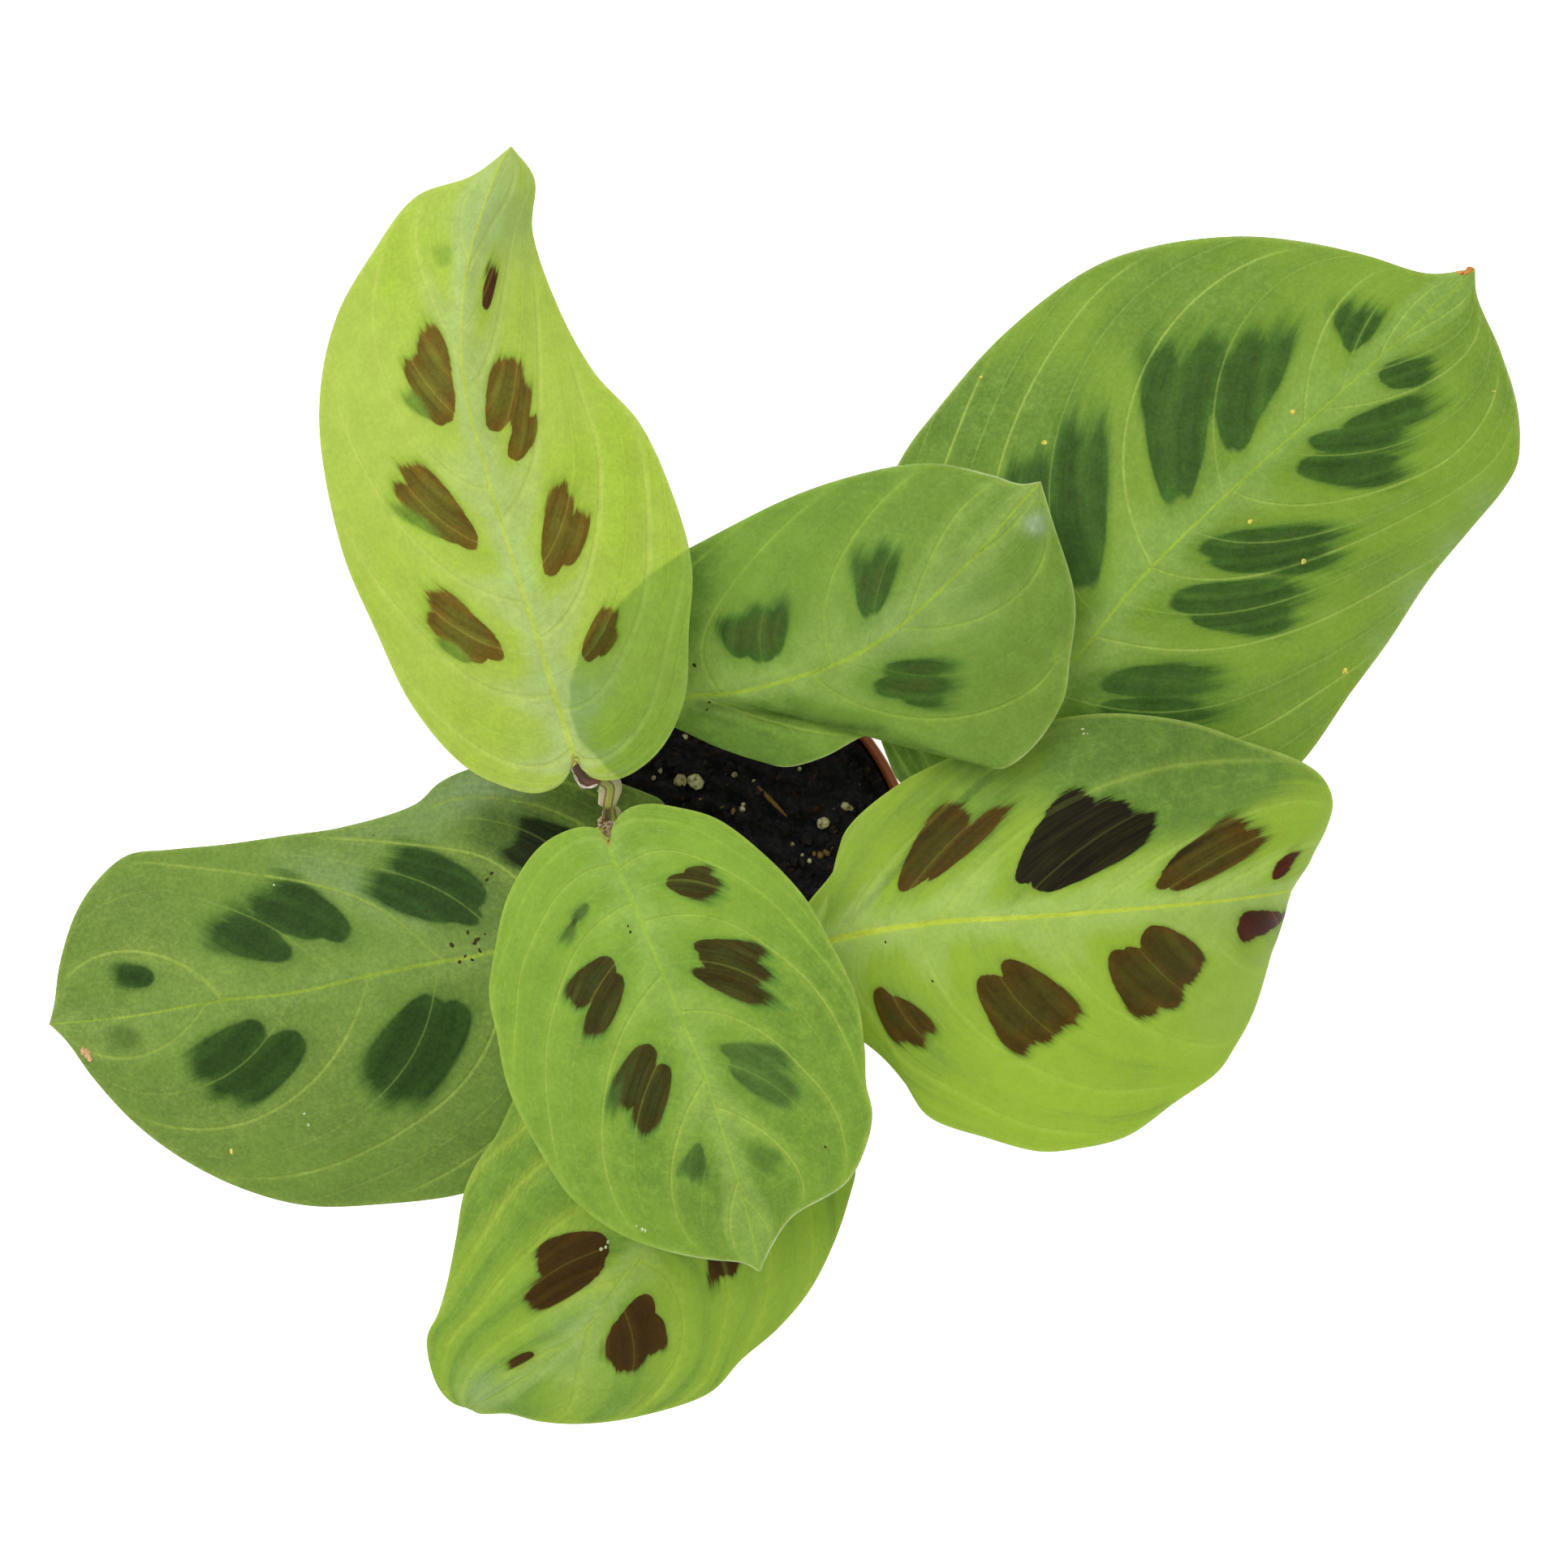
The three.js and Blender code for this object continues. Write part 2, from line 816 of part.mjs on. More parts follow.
function soilGeometry() {
  const wallRadius = (level) => {
    const share = (level - 3.2) / (shoulderHeight - 4.4);
    return innerFoot + (innerShoulder - innerFoot) * share - CLEARANCE;
  };
  const topRadius = innerBand - CLEARANCE - 0.1;
  const profile = [
    [0, SOIL.bottomHeight],
    [wallRadius(SOIL.bottomHeight), SOIL.bottomHeight],
    [wallRadius(shoulderHeight - 2), shoulderHeight - 0.9],
    [topRadius, shoulderHeight + 1.9],
  ];
  for (let ring = SOIL.rings; ring > 0; ring -= 1) {
    profile.push([(topRadius * ring) / SOIL.rings, SOIL.topHeight]);
  }
  profile.push([0, SOIL.topHeight]);
  const lathe = new THREE.LatheGeometry(
    profile.map(([radius, level]) => new THREE.Vector2(radius, level)),
    POT.segments,
  );
  lathe.rotateX(Math.PI / 2);
  const position = lathe.attributes.position;
  for (let i = 0; i < position.count; i += 1) {
    if (position.getZ(i) > SOIL.topHeight - 0.1) {
      position.setZ(i, SOIL.topHeight + grainHeight(position.getX(i), position.getY(i)));
    }
  }
  const holes = STEMS.map((stem) => solidOf(stemGeometry(stem, CLEARANCE)));
  return geometryOfSolid(holes.reduce((soil, hole) => soil.subtract(hole), solidOf(lathe)));
}

// The whole plant in its pot

const plant = new THREE.Group();
plant.add(named('pot', potGeometry(), 0x9a4a30, 0.5));
plant.add(named('soil', soilGeometry(), 0x1c1511, 0.95));
STEMS.forEach((stem) => plant.add(named(stem.name, stemGeometry(stem, 0), 0xb59c78, 0.6)));
LEAVES.forEach((leaf) => {
  plant.add(named(`stalk_${leaf.name}`, stalkGeometry(leaf), 0xa8a060, 0.6));
  plant.add(named(`leaf_${leaf.name}`, bladeGeometry(leaf), leaf.color, 0.45));
});

export default plant;
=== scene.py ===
"""A potted prayer plant (maranta): seven patterned leaves on two jointed stems, in a plastic nursery pot.

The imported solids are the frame. Every new piece is a surface worked out with numpy in millimetres and put
into its mesh in metres. +Z is up, and the origin is the middle of the pot's underside.
"""

import bpy
import numpy as np
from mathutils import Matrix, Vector


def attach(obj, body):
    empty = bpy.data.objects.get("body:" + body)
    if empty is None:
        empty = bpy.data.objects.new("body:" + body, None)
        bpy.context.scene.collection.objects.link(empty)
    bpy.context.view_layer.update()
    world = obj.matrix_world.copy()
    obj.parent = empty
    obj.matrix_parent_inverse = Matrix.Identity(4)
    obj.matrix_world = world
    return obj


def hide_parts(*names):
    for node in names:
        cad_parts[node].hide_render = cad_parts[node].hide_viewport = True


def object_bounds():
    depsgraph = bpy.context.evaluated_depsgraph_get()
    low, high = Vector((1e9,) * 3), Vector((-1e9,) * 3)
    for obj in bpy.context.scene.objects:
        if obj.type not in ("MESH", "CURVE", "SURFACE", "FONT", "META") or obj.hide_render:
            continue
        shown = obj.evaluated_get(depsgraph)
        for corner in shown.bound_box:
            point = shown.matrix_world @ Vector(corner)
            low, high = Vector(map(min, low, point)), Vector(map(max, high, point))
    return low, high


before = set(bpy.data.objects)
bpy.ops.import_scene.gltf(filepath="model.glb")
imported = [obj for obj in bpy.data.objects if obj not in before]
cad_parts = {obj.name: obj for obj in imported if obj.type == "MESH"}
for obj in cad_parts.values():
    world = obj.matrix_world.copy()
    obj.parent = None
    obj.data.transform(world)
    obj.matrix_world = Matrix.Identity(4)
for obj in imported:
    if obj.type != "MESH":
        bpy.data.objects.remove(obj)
cad_low, cad_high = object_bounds()

MM = 0.001
cad_low_mm, cad_high_mm = np.array(cad_low) / MM, np.array(cad_high) / MM
random = np.random.default_rng(31)

# The outlines of the plant are read from straight above, with the eye over VIEW at VIEW_HEIGHT, on the
# level of the pot's rim. The third number of a point is its own height.
VIEW = np.array([21.2, 20.3])
VIEW_HEIGHT = 850
VIEW_HALF_WIDTH = 166.55
RIM_HEIGHT = 90

POT_RIM_RADIUS = 50
POT_BASE_RADIUS = 35
POT_SHOULDER_HEIGHT = 77
POT_BAND_RADIUS = 48.9
POT_SHOULDER_RADIUS = 47.2
POT_MOUTH_RADIUS = 47.7
POT_FOOT_HEIGHT = 1.8
DRAIN_COUNT = 8
DRAIN_RADIUS = 3.5
DRAIN_RING_RADIUS = 23.5

SOIL_TOP = 82
SOIL_RADIUS = 47.3
SOIL_BOTTOM = 3.9
CRUMB_REACH = 46
GRAIN_REACH = 44

# Stems: where the middle line runs, and the share of its length at which each swollen joint sits.

STEMS = {
    "stem_west": {
        "radius": 1.7,
        "joints": (0.36, 0.7, 0.985),
        "line": [
            (1.5, -11.5, 56), (0.6, -10.2, 80), (-1.4, -7.6, 96), (-4.3, -3.6, 110), (-10, 3.4, 126),
            (-16.4, 11, 140),
        ],
    },
    "stem_east": {
        "radius": 1.9,
        "joints": (0.5, 0.72, 0.975),
        "line": [(7, -6.5, 56), (7.6, -7.4, 80), (9.6, -9.6, 95), (12.4, -12, 108), (15.2, -13.6, 119)],
    },
}

# Leaves, named by where they lie. The midrib runs from the stalk to the tip. Each edge runs from the notch
# at the stalk, round the rounded lobe, to the tip. Left and right are as seen facing the tip. The stalk runs
# from the stem up to the underside of the blade. sheath is the two shares of the stalk between which it
# clasps, and the widths of its wing there. neck is the two shares between which the stalk is dark.

LEAVES = {
    "back_left": {
        "midrib": [
            (-23.3, 25.7, 151), (-31.4, 51.9, 157), (-41.9, 85.9, 161), (-46.9, 107, 160),
            (-46.5, 128, 156), (-40.2, 149.4, 150), (-36.7, 155.7, 147),
        ],
        "left": [
            (-23.8, 24.4, 151), (-26, 20.5, 150), (-31, 18.4, 149), (-37, 19.4, 148), (-46.5, 24, 147),
            (-57.5, 36.5, 147), (-65.5, 53, 148), (-73, 71, 149), (-77.5, 98, 150), (-74, 119, 150),
            (-66, 133.5, 149), (-57, 145, 148), (-45, 149.5, 148), (-36.7, 155.7, 147),
        ],
        "right": [
            (-22.4, 25.1, 151), (-19.3, 21.6, 150.5), (-13.5, 21.5, 150), (-5.6, 27, 150), (0, 38, 151),
            (1, 53, 152), (1.6, 67, 152), (-2.9, 83, 151), (-9.5, 97, 148), (-19.3, 108, 144),
            (-27, 122, 140), (-32.3, 138, 140), (-31.9, 149, 144), (-36.7, 155.7, 147),
        ],
        "stalk": [
            (-16.3, 11.1, 139.2), (-16.4, 15.6, 143.6), (-15.9, 19.8, 145), (-17.4, 21, 145.8),
            (-20.6, 20.8, 146.4), (-22.4, 23, 147.6), (-23.2, 25.6, 149.4),
        ],
        "sheath": (0.3, 0.55, 1.1, 1.85),
        "neck": (0.09, 0.29),
    },
    "back_middle": {
        "midrib": [
            (-13.4, 33.8, 133), (1.8, 38.7, 136), (11.1, 39.6, 138), (23.4, 42.7, 140), (32.6, 45.8, 141),
            (40.6, 50.1, 142), (48, 55.6, 142), (56, 63, 140), (63.4, 70.4, 137), (69.6, 77.8, 134),
            (75.7, 84.5, 130),
        ],
        "left": [
            (-14.6, 32.9, 133), (-18.6, 29.8, 133), (-23.8, 29.9, 133.5), (-25.2, 35.2, 134.5),
            (-24.7, 42.1, 136), (-21.2, 50.7, 138), (-14.3, 58.4, 139), (-7.4, 65.6, 139),
            (1.6, 70.7, 138.5), (20.3, 80.2, 137), (32, 84.6, 135), (45.5, 87.9, 133), (54.1, 88.3, 132),
            (65.2, 85.9, 130.5), (71.4, 84, 130), (75.7, 84.5, 130),
        ],
        "right": [
            (-12.7, 32.6, 132.5), (-8, 33, 132), (-0.7, 34.8, 131), (9.8, 29.8, 130), (16, 25.5, 129),
            (21.6, 24, 128), (29.5, 26, 128.5), (39.1, 30.7, 130), (43.6, 30.3, 131), (54.1, 26.7, 130),
            (63.4, 24.2, 129.5), (67.8, 23.6, 129.5), (74.5, 28.5, 129), (80.7, 38.4, 129),
            (81.9, 46.4, 129), (83.1, 56.9, 129), (82.4, 63, 129), (78.1, 76.6, 129.5), (75.7, 84.5, 130),
        ],
        "stalk": [
            (-10.2, 3.8, 125.4), (-14.2, 10.5, 129), (-15.8, 16, 131), (-15.6, 22, 131.4),
            (-14.8, 28, 130.6), (-13.4, 33.4, 131.2),
        ],
        "sheath": (0.05, 0.4, 0.27, 0.9),
    },
    "back_right": {
        "midrib": [
            (56.4, 21.4, 112.5), (66.7, 31.7, 114.5), (82.6, 46.4, 117), (96, 62.8, 118), (113.3, 80, 117),
            (130.5, 95.5, 114), (147.8, 111, 109), (165, 126.6, 102), (167.9, 129.8, 100),
        ],
        "left": [
            (54.8, 20.8, 112.3), (50, 18.9, 111), (46, 20.5, 110.5), (42.9, 26.6, 110), (39.5, 38, 109.5),
            (38.3, 49, 109), (40, 69.7, 108.5), (45.3, 87.9, 107.5), (54.3, 100.6, 106.5),
            (67.9, 115.9, 105), (85.9, 129.5, 103.5), (99.5, 134.4, 102.5), (117.5, 136.7, 102),
            (131, 135.6, 101.5), (144.6, 132.6, 101.5), (158.1, 128.7, 101), (167.9, 129.8, 100),
        ],
        "right": [
            (57.4, 19.9, 112), (60.5, 15.8, 110.5), (66.7, 11.8, 109), (75, 9.2, 107.5), (84, 8.4, 106),
            (102.9, 11, 103.5), (120.2, 17.1, 101), (131, 24.8, 99), (141.9, 40.2, 97), (149.1, 50.1, 96),
            (158.1, 63.6, 95), (167.1, 74.5, 95.5), (174.3, 83.4, 97), (177, 88.9, 98), (177, 99.7, 99),
            (173.4, 112.3, 99.5), (168.4, 124, 100), (167.9, 129.8, 100),
        ],
        "stalk": [
            (10.2, -10, 97.5), (16.6, -10.6, 103), (24, -10.4, 106.5), (34, -6.4, 108.6),
            (44.4, 1.4, 109.4), (51.6, 11.4, 109.4), (54.8, 17.4, 109), (56.4, 21.2, 110.7),
        ],
        "sheath": (0.05, 0.3, 0.36, 1.2),
    },
    "right": {
        "midrib": [
            (27.1, -15.2, 124.8), (31.7, -12.9, 125.5), (51.8, -9.3, 128), (75.5, -7.8, 128),
            (99.3, -5.9, 124.5), (115, -4.4, 118.5), (124, -3.2, 113), (128.4, -2.4, 104),
            (128.6, -2.6, 94), (127.9, -2.8, 84),
        ],
        "left": [
            (26.8, -13.8, 124.6), (25, -10.6, 124), (24.7, -7.6, 123.5), (26.5, -4.7, 123),
            (32.1, 2.5, 122), (34.4, 10.4, 121), (46.3, 20.7, 120), (58.1, 26.6, 119), (68.4, 31.2, 118.5),
            (78.8, 34.1, 118), (91.4, 35.3, 117), (107.2, 33.4, 115), (119.1, 29.4, 112), (131, 25.1, 108),
            (135.7, 21.6, 105), (137.7, 16.7, 101), (136.6, 11.6, 96.5), (132.6, 4, 89), (127.9, -2.8, 84),
        ],
        "right": [
            (26.4, -16.6, 124.6), (25.9, -19.4, 124), (27.9, -23.8, 123), (33.1, -30.3, 122),
            (42.3, -37.9, 121), (47.1, -43.4, 120), (51.8, -50.2, 118), (64.5, -54.9, 116),
            (75.6, -57.8, 115), (83.4, -57.2, 114), (93.8, -54.5, 112), (104.1, -47.4, 109),
            (113.2, -41, 104), (116.9, -35.5, 99), (121, -27.6, 93), (124.9, -14.9, 87), (127.9, -2.8, 84),
        ],
        "stalk": [
            (15.2, -13.6, 118.2), (20, -15, 121.2), (23.4, -15.4, 121.4), (25.6, -15.4, 121.6),
            (27.6, -15, 122.55),
        ],
        "sheath": (0.05, 0.4, 0.3, 1),
    },
    "left": {
        "midrib": [
            (-11.7, -4.5, 111), (-28, -11.9, 113), (-44.1, -16.2, 113.5), (-52.8, -17.6, 113),
            (-65.9, -20.2, 112), (-83.3, -24.1, 109), (-97.8, -25.6, 106), (-116.7, -28.9, 100.5),
            (-134.8, -30.7, 94),
        ],
        "left": [
            (-10.9, -6, 110.8), (-9.1, -9.7, 110.5), (-8.3, -20, 109), (-12.6, -35.5, 107),
            (-22.9, -51, 105), (-35, -61.4, 102.5), (-46.7, -66.6, 100.5), (-65.9, -69.1, 98.5),
            (-80.4, -69.1, 97.5), (-94.9, -65.2, 96.5), (-107.2, -59, 96), (-116.7, -51.7, 95.5),
            (-125.4, -42.2, 95), (-131.2, -34.3, 94.5), (-134.8, -30.7, 94),
        ],
        "right": [
            (-11.2, -3, 110.8), (-9.3, 1.4, 110.5), (-5.2, 8, 110), (-3, 12.8, 109.5), (-4.6, 16.6, 109),
            (-9.1, 18.8, 108.5), (-13.1, 20.3, 108), (-19.5, 23.1, 107.5), (-28.1, 25.3, 107),
            (-36.7, 25.2, 106), (-45.9, 23.4, 104), (-52.1, 20.5, 101.5), (-57.2, 16, 99), (-73.1, 11, 96),
            (-84, 9.4, 95), (-97.8, 7.4, 94.5), (-109.5, 6.3, 94.5), (-118.1, 5.2, 95), (-124, 0.5, 96),
            (-129, -6.7, 96.5), (-132.6, -17.6, 96), (-133.8, -26.3, 95), (-134.8, -30.7, 94),
        ],
        "stalk": [
            (-1.2, -8, 94.5), (-6.6, -10, 100), (-9.2, -8.4, 104.5), (-10.8, -6, 107),
            (-12.2, -4.6, 109.15),
        ],
        "sheath": (0.05, 0.5, 0.36, 1.2),
    },
    "middle": {
        "midrib": [
            (-16, 7.6, 149), (-15.2, 4.6, 149.6), (-10.5, -5.7, 151), (-5.4, -17.9, 152),
            (-1.1, -28.1, 151), (4, -40.5, 149), (8.4, -54.3, 145.5), (12, -65.9, 141.5),
            (15.6, -80.3, 136), (16, -83.3, 134.5),
        ],
        "left": [
            (-15.6, 9, 149), (-14.7, 12.2, 148.5), (-12, 15, 148), (-7.6, 16.1, 147.5), (-1.8, 15.4, 147),
            (6.9, 12.9, 146), (17.1, 5.2, 145), (25.8, -4.1, 144), (31.6, -14.3, 142.5), (36.7, -25.2, 141),
            (38.3, -36, 140), (38.6, -43.4, 139.5), (39.9, -49.5, 139), (38.8, -56, 138),
            (34.5, -64.4, 137), (22.9, -71.7, 135.5), (18.4, -78.2, 135), (16, -83.3, 134.5),
        ],
        "right": [
            (-16.6, 8.8, 149), (-17.8, 10.4, 148.5), (-20.6, 11.2, 148), (-24.6, 10.5, 147),
            (-30.9, 6.7, 145.5), (-37.4, -3.4, 144), (-40.3, -15.8, 142.5), (-41.4, -24.5, 141.5),
            (-39.9, -32.5, 140.5), (-37.4, -44.1, 139.5), (-30.9, -57.2, 138), (-24.3, -67.3, 137),
            (-14.1, -75, 136), (-3.3, -79, 135.5), (5.4, -80.7, 135), (12.7, -81.5, 134.5),
            (16, -83.3, 134.5),
        ],
        "stalk": [(-16.5, 10.8, 139.2), (-18.6, 9.8, 142.2), (-18.2, 9, 145), (-16.3, 7.7, 147.3)],
        "sheath": (0.05, 0.3, 0.09, 0.3),
    },
    "front": {
        "midrib": [
            (8, -36, 116), (3.2, -46.5, 118), (-1.4, -57.9, 119), (-8.3, -77.4, 117), (-12.9, -84.7, 115),
            (-22.2, -96.6, 110.5), (-33.3, -105.3, 105.5), (-45.6, -112.4, 100),
        ],
        "left": [
            (9, -34.9, 116), (12.4, -32.2, 115.6), (18.4, -32.4, 115), (28.8, -39, 114), (35, -50, 112),
            (36.4, -61.7, 110), (35.2, -66.9, 109), (31.9, -76.8, 107), (26.6, -87.4, 105),
            (20, -95.3, 103.5), (12.1, -101.9, 102), (5.5, -108.8, 100), (-9.7, -114.1, 98.5),
            (-21.6, -115.6, 98), (-30.8, -115, 98), (-37.4, -113.4, 98.5), (-43.6, -113.4, 99.5),
            (-45.6, -112.4, 100),
        ],
        "right": [
            (6.8, -34.9, 116), (2.6, -31, 115.6), (-9.1, -28.6, 115.2), (-24.7, -35.5, 114.6),
            (-34.1, -43.3, 114), (-40, -54.4, 113), (-44, -60.3, 112), (-46.6, -66.2, 111),
            (-48.6, -76.8, 109), (-50.6, -86.7, 107), (-52.2, -92, 106), (-54.6, -97.5, 104.5),
            (-52.6, -107.2, 102), (-49.3, -111.1, 101), (-45.6, -112.4, 100),
        ],
        "stalk": [
            (11.6, -11.8, 104.5), (12.6, -18, 109.4), (11.6, -24, 111.4), (9.8, -30.6, 112),
            (8.4, -34, 112.6), (7.8, -36.6, 113.7),
        ],
        "sheath": (0.05, 0.4, 0.3, 1),
    },
}

# How each leaf is painted, with places as seen on the rim's level. colours are screen colours: the ground is
# green and shade, pale is its silvery zone, glow the light that comes through, core the middle of a lobe.
# veins lists the strong side veins of the left and of the right half, by the rows s at which they cross
# r = 0, 1/3, 2/3 and 1. A painted lobe is (x, y of its inner end, x, y of its outer end, half width), with
# its own taper where it differs. The soft spots are (x, y, radius, amount): tones darken the ground's green,
# in part as painted shade beside and under the leaves above; the dimming spots take light away as painted
# shade, and give painted light where below 0; the sheen spots are a painted sheen that makes the skin paler,
# and rims make its edge paler. A crease is (x, y of one end, x, y of the other, half width, depth), and it
# lays painted shade along its bottom. The outline of the leaf behind is where the shade of that leaf, seen
# through this one, is painted. Specks are (x, y, radius).

LIME_BLOTCHES = {
    "lobe": (96, 72, 18), "core": (94, 96, 30), "deep": (24, 17, 7), "green_lobe": (92, 98, 32),
    "halo": (134, 168, 52),
}
DARK_BLOTCHES = {
    "lobe": (56, 88, 30), "core": (56, 80, 30), "deep": (34, 50, 20), "green_lobe": (64, 98, 36),
    "halo": (84, 122, 46),
}

